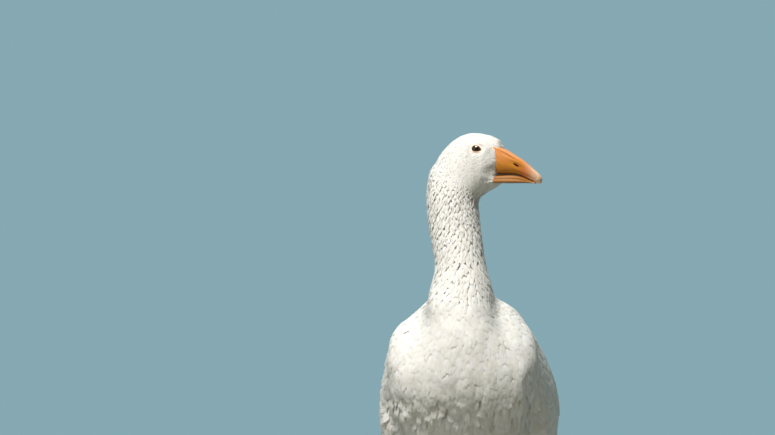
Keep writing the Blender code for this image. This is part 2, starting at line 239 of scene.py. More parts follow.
def normalsOf(obj):
    return readAll(obj.data.vertex_normals, "vector", 3).astype(float)


def edgesOf(mesh):
    return readAll(mesh.edges, "vertices", 2, np.int32)


def setPoints(obj, points):
    obj.data.vertices.foreach_set("co", points.astype(np.float32).ravel())
    obj.data.update()


def lifted(points, normals, heights):  # points moved out by heights in mm
    return points + normals * (heights * mm)[:, None]


def markPoints(mesh, name, values):  # a vector for every vertex, which the patterns read
    attribute = mesh.attributes.new(name, "FLOAT_VECTOR", "POINT")
    attribute.data.foreach_set("vector", values.astype(np.float32).ravel())


def markSpots(obj):  # each vertex's place on the straight head, in metres
    markPoints(obj.data, "spot", headPlaces(pointsOf(obj)) * mm)


def smoothed(values, edges, rounds):  # each value moves half way to its neighbours' mean, again and again
    values = np.array(values, float)
    columns = values.reshape(len(values), -1)
    ends = np.concatenate((edges[:, 0], edges[:, 1]))
    others = np.concatenate((edges[:, 1], edges[:, 0]))
    count = np.maximum(np.bincount(ends, minlength=len(values)), 1)
    for _ in range(rounds):
        for k in range(columns.shape[1]):
            column = columns[:, k]
            columns[:, k] = 0.5 * column + 0.5 * np.bincount(ends, column[others], len(values)) / count
    return columns.reshape(values.shape)


def relaxed(obj, rounds):  # smooths the facets away and gives back the size that smoothing takes
    before = pointsOf(obj)
    edges = edgesOf(obj.data)
    setPoints(obj, smoothed(before, edges, rounds))
    normals = normalsOf(obj)
    after = pointsOf(obj)
    lost = smoothed(((before - after) * normals).sum(1), edges, rounds * 3)
    setPoints(obj, after + normals * lost[:, None])


# The camera stands ahead and a little to the left of the goose, level with the foot of its neck.
cameraSet = {
    "azimuth": 4.5, "distance": 4.5, "behindBreast": 88, "belowCrown": 242.15, "yaw": 1.3716, "pitch": 1.5228,
    "lens": 144.16, "sensor": 36,
}


def makeCamera():
    azimuth = math.radians(cameraSet["azimuth"])
    back = Vector((math.sin(azimuth), -math.cos(azimuth), 0))
    anchor = Vector((0, cadBox[0][1] + cameraSet["behindBreast"] * mm, 0))
    spot = anchor + back * cameraSet["distance"]
    spot.z = cadBox[1][2] - cameraSet["belowCrown"] * mm
    heading = Matrix.Rotation(math.radians(cameraSet["yaw"]), 3, "Z") @ -back
    heading.z = math.tan(math.radians(cameraSet["pitch"]))
    camera = linked("camera", bpy.data.cameras.new("camera"))
    camera.data.lens = cameraSet["lens"]
    camera.data.sensor_width = cameraSet["sensor"]
    camera.location = spot
    camera.rotation_mode = "QUATERNION"
    camera.rotation_quaternion = heading.to_track_quat("-Z", "Y")
    bpy.context.scene.camera = camera


# Painter adds nodes to a node tree and feeds their sockets with numbers, colours or other nodes' outputs.
class Painter:
    def __init__(self, tree):
        self.nodes, self.links = tree.nodes, tree.links

    def feed(self, socket, value):
        if isinstance(value, (int, float)):
            socket.default_value = value
        elif isinstance(value, tuple):
            socket.default_value = (*value, 1)[:len(socket.default_value)]
        else:
            self.links.new(value, socket)

    def add(self, kind, inputs, **settings):  # a node, by its inputs' names or numbers; gives its outputs
        node = self.nodes.new("ShaderNode" + kind)
        for name, value in settings.items():
            setattr(node, name, value)
        for name, value in inputs.items():
            self.feed(node.inputs[name], value)
        return node.outputs

    def coordinates(self):
        return self.add("TexCoord", {})["Object"]

    def attribute(self, name):  # a mesh attribute, as a vector and as its three numbers
        vector = self.add("Attribute", {}, attribute_name=name)["Vector"]
        return vector, tuple(self.add("SeparateXYZ", {"Vector": vector}))

    def noise(self, vector, scale, detail=3.0, roughness=0.55):
        inputs = {"Scale": scale, "Detail": detail, "Roughness": roughness, "Vector": vector}
        return self.add("TexNoise", inputs)["Fac"]

    def mix(self, factor, first, second, kind="RGBA"):
        return self.add("Mix", {"Factor": factor, "A": first, "B": second}, data_type=kind)["Result"]

    def calculate(self, operation, first, second=0.0):
        return self.add("Math", {0: first, 1: second}, operation=operation)[0]

    def share(self, value, low, high):  # 0 at low and 1 at high, smooth between
        inputs = {"From Min": low, "From Max": high, "Value": value}
        return self.add("MapRange", inputs, interpolation_type="SMOOTHSTEP")["Result"]


class Finish(Painter):  # one material
    def __init__(self, name):
        self.material = bpy.data.materials.new(name)
        self.material.use_nodes = True
        super().__init__(self.material.node_tree)
        self.shader = self.nodes["Principled BSDF"]

    def give(self, values):  # values for the material's own shader
        for name, value in values.items():
            self.feed(self.shader.inputs[name], value)

    def bump(self, height, distance, strength):
        inputs = {"Strength": strength, "Distance": distance, "Height": height}
        self.give({"Normal": self.add("Bump", inputs)["Normal"]})


def plainMaterial(name, colour, roughness, speckle, scale):  # a dark or plain part, with a little variation
    look = Finish(name)
    vector = look.coordinates()
    look.give({"Base Color": look.mix(look.noise(vector, scale, 4), colour, speckle), "Roughness": roughness})
    look.bump(look.noise(vector, scale * 3, 3), 0.0001, 0.5)
    return look.material


# "patches" is the scale of the creamier patches, "patchShare" how strong they are, "through" the share of
# light that passes through the feathers.
featherLook = {
    "white": (0.86, 0.855, 0.84), "cream": (0.80, 0.775, 0.72), "roughness": 0.62, "shine": 0.25,
    "through": 0.35, "patches": 14, "patchShare": 0.25,
}


def makeFeatherMaterial(name):
    look = Finish(name)
    cream = featherLook["cream"]
    _, (_, _, tone) = look.attribute("vane")
    patches = look.noise(look.coordinates(), featherLook["patches"], 3)
    own = look.mix(tone, featherLook["white"], cream)
    colour = look.mix(look.calculate("MULTIPLY", patches, featherLook["patchShare"]), own, cream)
    look.give({"Base Color": colour, "Roughness": featherLook["roughness"]})
    look.give({"Specular IOR Level": featherLook["shine"]})
    glow = look.add("BsdfTranslucent", {"Color": colour})[0]
    both = look.add("MixShader", {0: featherLook["through"], 1: look.shader.outputs[0], 2: glow})[0]
    look.feed(look.nodes["Material Output"].inputs["Surface"], both)
    return look.material


# The skin is made from the nodes of flesh; the eyes only close their sockets in it.
fleshNodes = (
    "trunk", "neck_lower", "neck_upper", "head", "thigh_left", "thigh_right",
    "wing_left", "wing_right", "tail",
)
bodyNodes = fleshNodes[:6] + ("eye_left", "eye_right")
skinSet = {"swell": 0.35, "voxel": 3.6, "rounds": 26, "wingEnd": -318, "tailEnd": -372, "headFrom": 655}


def cutBehind(obj, ahead):  # takes away what lies behind a place
    plane = {"plane_co": place(ahead, 0, 0), "plane_no": (0, 1, 0)}
    edited(obj, bpy.ops.mesh.bisect, **plane, clear_outer=True, use_fill=True)


def makeCoatShape():  # the surface that the tips of the coat reach
    body = copyOfNodes("coatShape", bodyNodes)
    wings = copyOfNodes("wingShape", ("wing_left", "wing_right"))
    cutBehind(wings, skinSet["wingEnd"])
    tail = copyOfNodes("tailShape", ("tail",))
    cutBehind(tail, skinSet["tailEnd"])
    for obj in (body, wings, tail):
        applied(obj, "DISPLACE", strength=skinSet["swell"] * mm, mid_level=0)
    joined((body, wings, tail))
    applied(body, "REMESH", mode="VOXEL", voxel_size=skinSet["voxel"] * mm, use_smooth_shade=True)
    pick(body)
    # the head takes finer faces than the rest
    head = pointsOf(body)[:, 2] > skinSet["headFrom"] * mm
    bpy.ops.object.mode_set(mode="EDIT")
    bpy.ops.mesh.select_all(action="DESELECT")
    bpy.ops.object.mode_set(mode="OBJECT")
    body.data.vertices.foreach_set("select", head)
    bpy.ops.object.mode_set(mode="EDIT")
    bpy.ops.mesh.select_mode(type="VERT")
    bpy.ops.mesh.subdivide(number_cuts=1)
    bpy.ops.object.mode_set(mode="OBJECT")
    relaxed(body, skinSet["rounds"])
    return body


# Lumps of the plumage as (size, height, seed); they grow low on the breast. Flares widen the neck and
# shoulders raise or lower the wings' roots, each as (height, middle, width). Tucks draw the breast in from a
# height down, each as (depth, from, to).
outlineSet = {
    "lumps": ((21, 1.7, 3), (8.5, 0.55, 8)), "growth": 1.2, "flatten": 0.75,
    "leftFlares": ((3.5, 540, 34),), "rightFlares": ((3.6, 512, 17), (-4.0, 568, 24)),
    "shoulders": ((4.5, 64, 20), (-5.5, -72, 20)), "crownAhead": 4.6,
    "tucks": ((22, 412, 300), (9, 485, 395)),
}


def clouds(points, size, height, seed):  # soft lumps
    shift = Vector((seed, 0, 0))
    spots = (Vector(point) / (size * mm) + shift for point in points.tolist())
    return height * np.array([fieldNoise.noise(spot) for spot in spots])


def shapeOutline(obj):  # moves the coat's outline off the solids and lays the plumage in soft uneven lumps
    points, normals = pointsOf(obj), normalsOf(obj)
    ahead, side, up = bodyPlaces(points).T
    left = ease(side, 5, 35) * ease(ahead, 60, 90)
    right = ease(-side, 4, 24) * ease(ahead, 50, 90)
    flare = left * sum(hill(up, *each) for each in outlineSet["leftFlares"])
    flare += right * sum(hill(up, *each) for each in outlineSet["rightFlares"])
    points = lifted(points, normals, flare)
    wingRoots = ease(up, 440, 490) * ease(up, 550, 530) * ease(ahead, -60, 20)
    points[:, 2] += sum(hill(side, *each) for each in outlineSet["shoulders"]) * wingRoots * mm
    crown = headPlaces(points)
    forward = outlineSet["crownAhead"] * ease(crown[:, 2], 704, 722) * ease(crown[:, 0], 150, 104)
    points += headDirections(forward, forward * 0, forward * 0) * mm
    tuck = sum(depth * ease(up, start, end) for depth, start, end in outlineSet["tucks"])
    points[:, 1] += tuck * ease(ahead, 45, 130) * mm
    squeezed = points * (1, 1, outlineSet["flatten"])
    lumps = sum(clouds(squeezed, *each) for each in outlineSet["lumps"])
    onBody = ease(ahead, 40, 100) * ease(up, 600, 545) * ease(up, 200, 260)
    growth = 1 + outlineSet["growth"] * ease(up, 410, 360)
    setPoints(obj, lifted(points, normals, lumps * growth * onBody))


# Folds where the neck rises from the breast and where the wings leave it: a line as (side, up) from the
# middle of the breast, depth and width in mm, the share of the line where the fold starts to fade, and how
# far ahead it starts and is deepest.
creaseMiddle = -1  # how far to the left of the goose's middle that is
creaseSet = {
    "neck": {
        "line": ((52, 511), (56, 498), (64, 475), (72, 450), (80, 425)),
        "depth": 4.2, "width": 11.0, "fade": 0.35, "from": 92, "full": 122,
    },
    "wing": {
        "line": ((100, 440), (102, 410), (103, 375), (101, 335), (97, 295)),
        "depth": 4.0, "width": 8.5, "fade": 0.8, "from": 25, "full": 60,
    },
}


def distanceToLine(points, line):  # from 2-D points to a line through several places, and how far along it
    best = np.full(len(points), 1e9)
    share = np.zeros(len(points))
    line = np.array(line, float)
    steps = len(line) - 1
    for i in range(steps):
        run = line[i + 1] - line[i]
        t = np.clip(((points - line[i]) @ run) / (run @ run), 0, 1)
        gap = np.linalg.norm(points - line[i] - t[:, None] * run, axis=1)
        share = np.where(gap < best, (i + t) / steps, share)
        best = np.minimum(best, gap)
    return best, share


def creaseBody(obj):
    for crease in creaseSet.values():
        points, normals = pointsOf(obj), normalsOf(obj)
        ahead, side, up = bodyPlaces(points).T
        gap, share = distanceToLine(np.column_stack((np.abs(side - creaseMiddle), up)), crease["line"])
        deep = crease["depth"] * bell(gap, crease["width"]) * ease(share, 1, crease["fade"])
        shallowStart = 0.3 + 0.7 * ease(share, 0, 0.35)
        deep *= ease(ahead, crease["from"], crease["full"]) * shallowStart
        setPoints(obj, lifted(points, normals, -deep))


def trianglesOf(mesh):
    mesh.calc_loop_triangles()
    return readAll(mesh.loop_triangles, "vertices", 3, np.int32)


def treeOf(mesh):
    return BVHTree.FromPolygons([vertex.co for vertex in mesh.vertices], trianglesOf(mesh).tolist())


def surfaceOf(obj):  # a mesh as numbers, with a tree for finding its nearest places
    made = SimpleNamespace(points=pointsOf(obj), normals=normalsOf(obj), edges=edgesOf(obj.data))
    triangles = made.triangles = trianglesOf(obj.data)
    first, second, third = made.points[triangles].transpose(1, 0, 2)
    made.areas = np.linalg.norm(np.cross(second - first, third - first), axis=1) / 2
    made.tree = BVHTree.FromPolygons(made.points.tolist(), triangles.tolist())
    made.triNormals = unit(made.normals[triangles].mean(1))
    return made


def distancesTo(points, *nodes):  # in mm, to the nearest of these nodes
    trees = [treeOf(frame["nodes"][node].data) for node in nodes]
    return np.array([min(tree.find_nearest(point)[3] for tree in trees) for point in points.tolist()]) / mm


# Size of the feathers by part of the body, in mm: how far apart their roots are across and along the lie,
# length, width, depth of the coat, how far the tips stand out, pointedness, how much they stray from the
# lie, in degrees, and how much each rises from its middle to its tip.
coatSizes = {
    "face": (1.0, 1.5, 4.2, 1.8, 0.9, 0.05, 0.35, 6, 0.12),
    "cheek": (1.3, 2.0, 6.0, 2.3, 1.3, 0.12, 0.5, 8, 0.3),
    "nape": (2.4, 4.0, 12, 4.7, 2.0, 0.3, 0.7, 9, 0.45),
    "neck": (3.1, 5.0, 15, 6.2, 2.3, 0.45, 0.7, 9, 0.7),
    "lowNeck": (3.6, 6.4, 18, 7.4, 3.6, 0.12, 0.6, 7, 0.7),
    "breast": (4.6, 6.2, 26, 11.5, 5.0, 0.0, 0.4, 7, 0.42),
    "fringe": (5.6, 8.0, 30, 12.0, 6.0, 2.2, 0.6, 14, 2.0),
    "belly": (5.0, 7.5, 31, 11.5, 6.5, 1.2, 0.5, 11, 1.8),
    "flank": (8.0, 10.5, 42, 20, 6.0, 0.5, 0.25, 7, 2.0),
    "back": (9.0, 11.5, 44, 23, 6.0, 0.4, 0.15, 5, 2.2),
    "thigh": (3.2, 5.0, 17, 6.5, 3.5, 0.5, 0.6, 10, 1.2),
    "wing": (8.5, 10.5, 34, 20, 4.0, 0.9, 0.4, 6, 2.6),
}
# How near a place must be to the wing's or the thigh's solid, and how far off the trunk's, to bear its
# feathers.
nearSet = {"wing": 2.5, "wingOffTrunk": 1.2, "thigh": 2.0, "thighOffTrunk": 1.0}
smoothSet = {"lie": 14, "sizes": 10}


def blendFields(layers):  # (weight, values) laid over each other in turn
    total = np.zeros((len(layers[0][0]), np.shape(layers[0][1])[-1]))
    for weight, values in layers:
        total = total * (1 - weight[:, None]) + weight[:, None] * np.asarray(values, float)
    return total


def addFields(surface):  # which way the feathers lie at each place, and their sizes there
    spots, head = bodyPlaces(surface.points), headPlaces(surface.points)
    ahead, side, up = spots.T
    trunk = distancesTo(surface.points, "trunk")
    wing = distancesTo(surface.points, "wing_left", "wing_right")
    thigh = distancesTo(surface.points, "thigh_left", "thigh_right")
    surface.wing = ((wing < nearSet["wing"]) & (trunk > nearSet["wingOffTrunk"])).astype(float)
    surface.thigh = ((thigh < nearSet["thigh"]) & (trunk > nearSet["thighOffTrunk"])).astype(float)
    offWing = 1 - surface.wing
    full = np.ones(len(ahead))
    # back over the body, down over the breast and the neck
    front = ease(ahead, 60, 140)
    lie = np.column_stack((0 * side, 0.25 + full - 0.75 * front, -0.12 - 1.3 * front))
    lie[:, 2] += 0.35 * ease(-ahead, 180, 330)
    neckward = ease(up, 500, 548)
    lie = blendFields([
        (full, lie), (surface.wing, (0, 1, -0.16)), (surface.thigh, (0, 0.15, -1)),
        (neckward, (-0.04, 0.02, -1)),
    ])
    # back from the bill over the head, and away from the eyes
    downward = np.clip(ease(head[:, 0], 176, 112) + 0.25 * ease(head[:, 2], 735, 690), 0, 1)
    straightBack = headDirections(-(1 - downward), 0 * downward, -downward * 1.15)
    lie = blendFields([(full, lie), (ease(up, 640, 700) * ease(ahead, 20, 60), straightBack)])
    nearEye = ease(eyeGap(head), 2.4, 1.2) * ease(up, 690, 700)
    away = headDirections((head[:, 0] - eyeSet["ahead"]) / 6, 0 * up, (head[:, 2] - eyeSet["up"]) / 6)
    lie += away * nearEye[:, None]
    surface.lie = unit(smoothed(lie, surface.edges, smoothSet["lie"]))
    sizes = blendFields([
        (full, coatSizes["flank"]),
        (ease(up, 455, 490) * offWing, coatSizes["back"]),
        (ease(up, 420, 300) * offWing, coatSizes["belly"]),
        (ease(ahead, 60, 120) * offWing, coatSizes["breast"]),
        (ease(ahead, 60, 110) * ease(up, 325, 360) * ease(up, 400, 372) * offWing, coatSizes["fringe"]),
        (surface.wing, coatSizes["wing"]),
        (surface.thigh, coatSizes["thigh"]),
        (ease(up, 478, 545) * ease(ahead, 40, 75), coatSizes["lowNeck"]),
        (ease(up, 575, 625), coatSizes["neck"]),
        (ease(up, 655, 690), coatSizes["nape"]),
        (ease(head[:, 0] + 0.35 * (head[:, 2] - 700), 100, 128) * ease(up, 650, 690), coatSizes["cheek"]),
        (ease(head[:, 0], 150, 178) * ease(up, 640, 700), coatSizes["face"]),
        (nearEye, coatSizes["face"]),
    ])
    surface.sizes = smoothed(sizes, surface.edges, smoothSet["sizes"])
    surface.depth = surface.sizes[:, 4]
    surface.headSpots, surface.spots = head, spots
    surface.triLie = unit(surface.lie[surface.triangles].mean(1))
    surface.triDepth = surface.depth[surface.triangles].mean(1)


# "spare" is how many places are tried for each feather, "nearest" how close two roots may be: 1 is their
# spacing, squared.
scatterSet = {"spare": 5, "nearest": 0.72}


def isClear(grid, cell, spot, lie, wide, long):  # whether no root kept so far is too close
    (i, j, k), (x, y, z), (dx, dy, dz) = cell, spot, lie
    for key in product((i - 1, i, i + 1), (j - 1, j, j + 1), (k - 1, k, k + 1)):
        for px, py, pz in grid.get(key, ()):
            gx, gy, gz = px - x, py - y, pz - z
            run = gx * dx + gy * dy + gz * dz
            off = gx * gx + gy * gy + gz * gz - run * run
            if run * run / (long * long) + off / (wide * wide) < scatterSet["nearest"]:
                return False
    return True


def scatter(surface, chosen, seed):  # roots over a part of the skin, chosen by 0 or 1 at each vertex
    rng = np.random.default_rng(seed)
    triangles = surface.triangles
    sizes = surface.sizes[triangles].mean(1)
    share = chosen[triangles].mean(1)
    weight = surface.areas * (share > 0.5) / (sizes[:, 0] * sizes[:, 1])
    total = int(weight.sum() / mm**2 * scatterSet["spare"])
    picks = rng.choice(len(weight), total, p=weight / weight.sum())
    first, second = rng.random((2, total))
    flip = first + second > 1
    first, second = np.where(flip, 1 - first, first), np.where(flip, 1 - second, second)
    shares = np.column_stack((1 - first - second, first, second))
    points = (surface.points[triangles[picks]] * shares[:, :, None]).sum(1)
    own = (surface.sizes[triangles[picks]] * shares[:, :, None]).sum(1)
    across, along = own[:, 0] * mm, own[:, 1] * mm
    cells = np.floor(points / float(max(across.max(), along.max()))).astype(int)
    grid, kept = {}, []
    columns = (cells, points, surface.triLie[picks], across, along)
    for index, row in enumerate(zip(*(column.tolist() for column in columns))):
        if isClear(grid, *row):
            grid.setdefault(tuple(row[0]), []).append(row[1])
            kept.append(index)
    return SimpleNamespace(points=points[kept], triangle=picks[kept], sizes=own[kept], shares=shares[kept])


# How the skin is unwrapped for the OFBake map, and the size of each feather's patch there.
mapSet = {"patch": 0.003, "angle": 66, "margin": 0.004}


def unwrapped(surface, chosen):  # where the corners of each triangle lie on an unwrap of a part of the skin
    used = np.flatnonzero(chosen[surface.triangles].mean(1) > 0.5)
    part = newMesh("unwrap", surface.points, surface.triangles[used].tolist(), None)
    angle = math.radians(mapSet["angle"])
    edited(part, bpy.ops.uv.smart_project, angle_limit=angle, island_margin=mapSet["margin"])
    corners = np.zeros((len(surface.triangles), 3, 2))
    corners[used] = readAll(part.data.uv_layers.active.data, "uv", 2).reshape(-1, 3, 2)
    bpy.data.objects.remove(part)
    return corners


def mapRoots(corners, triangle, shares):
    return (corners[triangle] * shares[:, :, None]).sum(1)


# The furrowed neck: ridges that run down it at a slant, by their spacing, height and where they start and
# end. Their middle is the neck's, as (ahead, side), and the radius turns angles into millimetres.
ridgeSet = {
    "apart": 7.4, "height": 1.0, "slant": 0.42, "from": 575, "full": 620, "fade": 665, "to": 700,
    "middle": (118, -8), "radius": 38,
}


def neckRidges(points):  # heights in mm
    ahead, side, up = bodyPlaces(points.reshape(-1, 3)).T
    around = np.arctan2(side - ridgeSet["middle"][1], ahead - ridgeSet["middle"][0]) * ridgeSet["radius"]
    sway = 2.2 * np.sin(up / 13 + around / 17) + 1.5 * np.sin(up / 7.1 - around / 11 + 2)
    phase = 2 * math.pi * (around + ridgeSet["slant"] * up + sway) / ridgeSet["apart"]
    strength = ease(up, ridgeSet["from"], ridgeSet["full"]) * ease(up, ridgeSet["to"], ridgeSet["fade"])
    return (ridgeSet["height"] * strength * np.sin(phase)).reshape(points.shape[:-1])


# Shape of a feather: stations along it, their half widths, how far its edges droop, its tip, which is one
# point or a comb of points that stray by this share, and whether its cross-section is a full arch.
shapes = {
    "vane": {
        "along": (0, 0.25, 0.5, 0.72, 0.88, 0.97), "half": (0.45, 0.8, 1.0, 0.98, 0.78, 0.42),
        "droop": 0.12, "comb": 0, "arch": True,
    },
    "plume": {
        "along": (0, 0.3, 0.6, 0.82), "half": (0.45, 0.86, 1.0, 0.88),
        "droop": 0.06, "comb": 0.12, "arch": True,
    },
    "quill": {
        "along": (0, 0.1, 0.28, 0.48, 0.66, 0.8, 0.9, 0.965),
        "half": (0.2, 0.66, 0.9, 1.0, 0.98, 0.86, 0.66, 0.4), "droop": 0.10, "comb": 0, "arch": True,
    },
    "tuft": {
        "along": (0, 0.35, 0.66, 0.88), "half": (0.5, 1.0, 0.86, 0.45),
        "droop": 0.2, "comb": 0, "arch": False,
    },
    "fleck": {"along": (0, 0.45, 0.82), "half": (0.6, 1.0, 0.62), "droop": 0.16, "comb": 0, "arch": False},
}
# How much feathers of one place differ, how strongly they follow the lie, how fast their roots sink into
# the skin, and their least thickness in mm and as a share of their width.
growSet = {
    "length": (0.84, 1.16), "width": (0.86, 1.14), "stand": (0.2, 1.8), "half": (0.93, 1.07), "follow": 0.15,
    "bury": 0.4, "sink": 5, "thick": 0.09, "thickShare": 0.012,
}


def traceSpines(surface, roots, turn, length, along):  # each feather's line, which follows the surface
    count, stations = len(turn), len(along)
    spine, ups = np.empty((count, stations, 3)), np.empty((count, stations, 3))
    depths = np.empty((count, stations))
    lies, normals, skinDepth = surface.triLie.tolist(), surface.triNormals.tolist(), surface.triDepth.tolist()
    steps = np.diff(along, prepend=0).tolist()
    for k in range(count):
        spot = Vector(roots.points[k])
        face = int(roots.triangle[k])
        normal = Vector(normals[face])
        heading = (Matrix.Rotation(turn[k], 3, normal) @ Vector(lies[face])).normalized()
        total = float(length[k])
        for s in range(stations):
            if s:
                spot, _, face, _ = surface.tree.find_nearest(spot + heading * (total * steps[s]))
                normal = Vector(normals[face])
                heading = heading + (Vector(lies[face]) - heading) * growSet["follow"]
                heading = (heading - normal * heading.dot(normal)).normalized()
            spine[k, s] = spot
            ups[k, s] = normal
            depths[k, s] = skinDepth[face]
    return spine, ups, depths


def featherFaces(stations, sides, comb):  # one feather's faces, as corner indices: its sides, then its ends
    last, root = (stations - 1) * sides, stations * sides
    caps = [((r + 1) % sides, r, root) for r in range(sides)]
    if comb:
        under = last + sides - 1
        for r in range(sides - 2):
            tip = root + 1 + r
            caps += [(last + r, last + r + 1, tip), (under, last + r, tip), (last + r + 1, under, tip)]
    else:
        caps += [(last + r, last + (r + 1) % sides, root + 1) for r in range(sides)]
    return ringFaces(stations, sides), caps


def growFeathers(name, surface, roots, mapSpots, shapeName, material, seed):
    rng = np.random.default_rng(seed)
    count = len(roots.points)
    along = np.array(shapes[shapeName]["along"] + (1.0,))
    length, width = roots.sizes.T[2:4]
    lift, point, stray, step = roots.sizes.T[5:]
    length = length * mm * rng.uniform(*growSet["length"], count)
    width = width * mm * rng.uniform(*growSet["width"], count)
    turn = np.radians(stray) * rng.normal(0, 1, count).clip(-2.2, 2.2)
    spine, ups, depths = traceSpines(surface, roots, turn, length, along)
    stand = lift * rng.uniform(*growSet["stand"], count)
    heights = -(depths + growSet["bury"]) * (1 - along) ** growSet["sink"]
    heights += stand[:, None] * along**3 - step[:, None] * (1 - along) - 0.1
    heights += neckRidges(spine) * along[None] ** 0.7
    spine += ups * (heights * mm)[:, :, None]
    buildFeathers(name, spine, ups, (length, width, point, stray), mapSpots, shapeName, material, rng)


# Each feather is a run of rings along its spine. spine and ups hold (feather, station, xyz): its line and
# which way its face looks; sizes hold each feather's length, width, pointedness and stray.
def buildFeathers(name, spine, ups, sizes, mapSpots, shapeName, material, rng, twist=0.0):
    length, width, point, stray = sizes
    shape = shapes[shapeName]
    count, stations = len(spine), len(shape["along"])
    run = unit(np.gradient(spine, axis=1))
    level = unit(np.cross(run, ups))
    upright = unit(np.cross(level, run))
    roll = np.radians(rng.normal(0, 0.3, count) * stray + twist)[:, None, None]
    sideways = level * np.cos(roll) + upright * np.sin(roll)
    upwards = upright * np.cos(roll) - level * np.sin(roll)
    half = np.array(shape["half"])[None, :] * (width / 2)[:, None]
    half = half * (1 - np.clip(point, 0, 1)[:, None] * np.linspace(0, 0.5, stations)[None, :] ** 1.2)
    half = half * rng.uniform(*growSet["half"], half.shape)
    thick = np.maximum(growSet["thickShare"] * width, growSet["thick"] * mm)
    # a ring's corners as (share of the half width across, share of it up, outer or skin side)
    droop = -shape["droop"]
    if shape["arch"]:
        outer = ((-1, droop, 0), (-0.5, droop / 4, 1), (0, 0, 1), (0.5, droop / 4, 1), (1, droop, 0))
    else:
        outer = ((-1, droop, 0), (0, 0.06, 1), (1, droop, 0))
    ring = outer + ((0, 0, -1),)
    sides = len(ring)
    rows = []
    for offset, height, skinSide in ring:
        corner = spine[:, :-1] + sideways[:, :-1] * (half * offset)[:, :, None]
        corner = corner + upwards[:, :-1] * (half * height + skinSide * thick[:, None])[:, :, None]
        if offset:
            corner = corner + run[:, :-1] * (rng.normal(0, 0.022, half.shape) * length[:, None])[:, :, None]
        rows.append(corner)
    body = np.stack(rows, axis=2)  # feather, station, ring
    across = [offset / 2 for _ in range(stations) for offset, _, _ in ring] + [0]
    along = [share for share in shape["along"] for _ in ring] + [0]
    ends = []
    if shape["comb"]:
        for r in range(sides - 2):
            middle = (body[:, -1, r] + body[:, -1, r + 1]) / 2
            reach = length * (1 - shape["along"][-1]) * rng.uniform(0.7, 1.3, count)
            reach = reach * (1.1 if r in (1, 2) else 0.7)
            aside = rng.normal(0, shape["comb"], count) * reach
            tip = middle + run[:, -1] * reach[:, None] + sideways[:, -1] * aside[:, None]
            ends.append(tip - ups[:, -1] * (0.02 * reach)[:, None])
            across.append((ring[r][0] + ring[r + 1][0]) / 4)
            along.append(1.0)
    else:
        ends.append(spine[:, -1])
        across.append(0)
        along.append(1.0)
    points = np.concatenate((body.reshape(count, -1, 3), spine[:, :1], np.stack(ends, axis=1)), axis=1)
    perFeather = points.shape[1]
    quads, caps = featherFaces(stations, sides, shape["comb"])
    starts = np.arange(count)[:, None, None] * perFeather
    corners = np.concatenate([(np.array(faces)[None] + starts).ravel() for faces in (quads, caps)])
    faceSizes = np.repeat((4, 3), (count * len(quads), count * len(caps)))
    mesh = bpy.data.meshes.new(name)
    mesh.vertices.add(count * perFeather)
    mesh.vertices.foreach_set("co", points.astype(np.float32).ravel())
    mesh.loops.add(len(corners))
    mesh.loops.foreach_set("vertex_index", corners.astype(np.int32))
    mesh.polygons.add(len(faceSizes))
    mesh.polygons.foreach_set("loop_start", (np.cumsum(faceSizes) - faceSizes).astype(np.int32))
    mesh.update(calc_edges=True)
    mesh.shade_smooth()
    # each feather's patch of the map lies at its root, and "vane" holds its own measures for its pattern
    local = np.column_stack((across, along))
    layer = mesh.uv_layers.new(name="OFBake")
    patches = mapSpots[:, None, :] + mapSet["patch"] * (local - (0, 0.5))[None]
    layer.data.foreach_set("uv", patches.reshape(-1, 2)[corners].astype(np.float32).ravel())
    own = np.empty((count, perFeather, 3))
    own[:, :, 0] = local[None, :, 1] * length[:, None]
    own[:, :, 1] = local[None, :, 0] * width[:, None]
    own[:, :, 2] = rng.random(count)[:, None]
    markPoints(mesh, "vane", own)
    # its rim is sharp, so that its thin edge doesn't darken its face
    rim = [abs(offset) == 1 for _ in range(stations) for offset, _, _ in ring]
    rim = np.tile(rim + [True] * (len(ends) + 1), count)
    edges = edgesOf(mesh)
    sharp = rim[edges].all(1)
    if shape["comb"]:
        last, root = stations * sides - sides, stations * sides
        spots = edges % perFeather
        onLast = ((spots >= last) & (spots < root)).all(1)
        sharp = (sharp & ~onLast) | (spots > root).any(1) | ((spots == root - 1).any(1) & onLast)
    mesh.attributes.new("sharp_edge", "BOOLEAN", "EDGE").data.foreach_set("value", sharp)
    mesh.materials.append(material)
    finished(linked(name, mesh), "plumage")
    report(f"{name} has {count} feathers, {count * (len(quads) * 2 + len(caps))} triangles")


# Where the parts of the coat meet: the head and the neck by height, the breast, belly and back by how far
# ahead and how high they lie. The planted feathers close over the wing's end and the corners beside the
# rump.
zoneSet = {
    "headFrom": 648, "neckFrom": 520, "breastFrom": 60, "bellyTo": 400, "backEnd": -335, "wingEnd": -262,
    "lowWingEnd": -296, "lowWingTo": 426, "cornerEnd": -252, "cornerSide": 24, "eyeRim": 1.2, "billGap": 0.2,
}


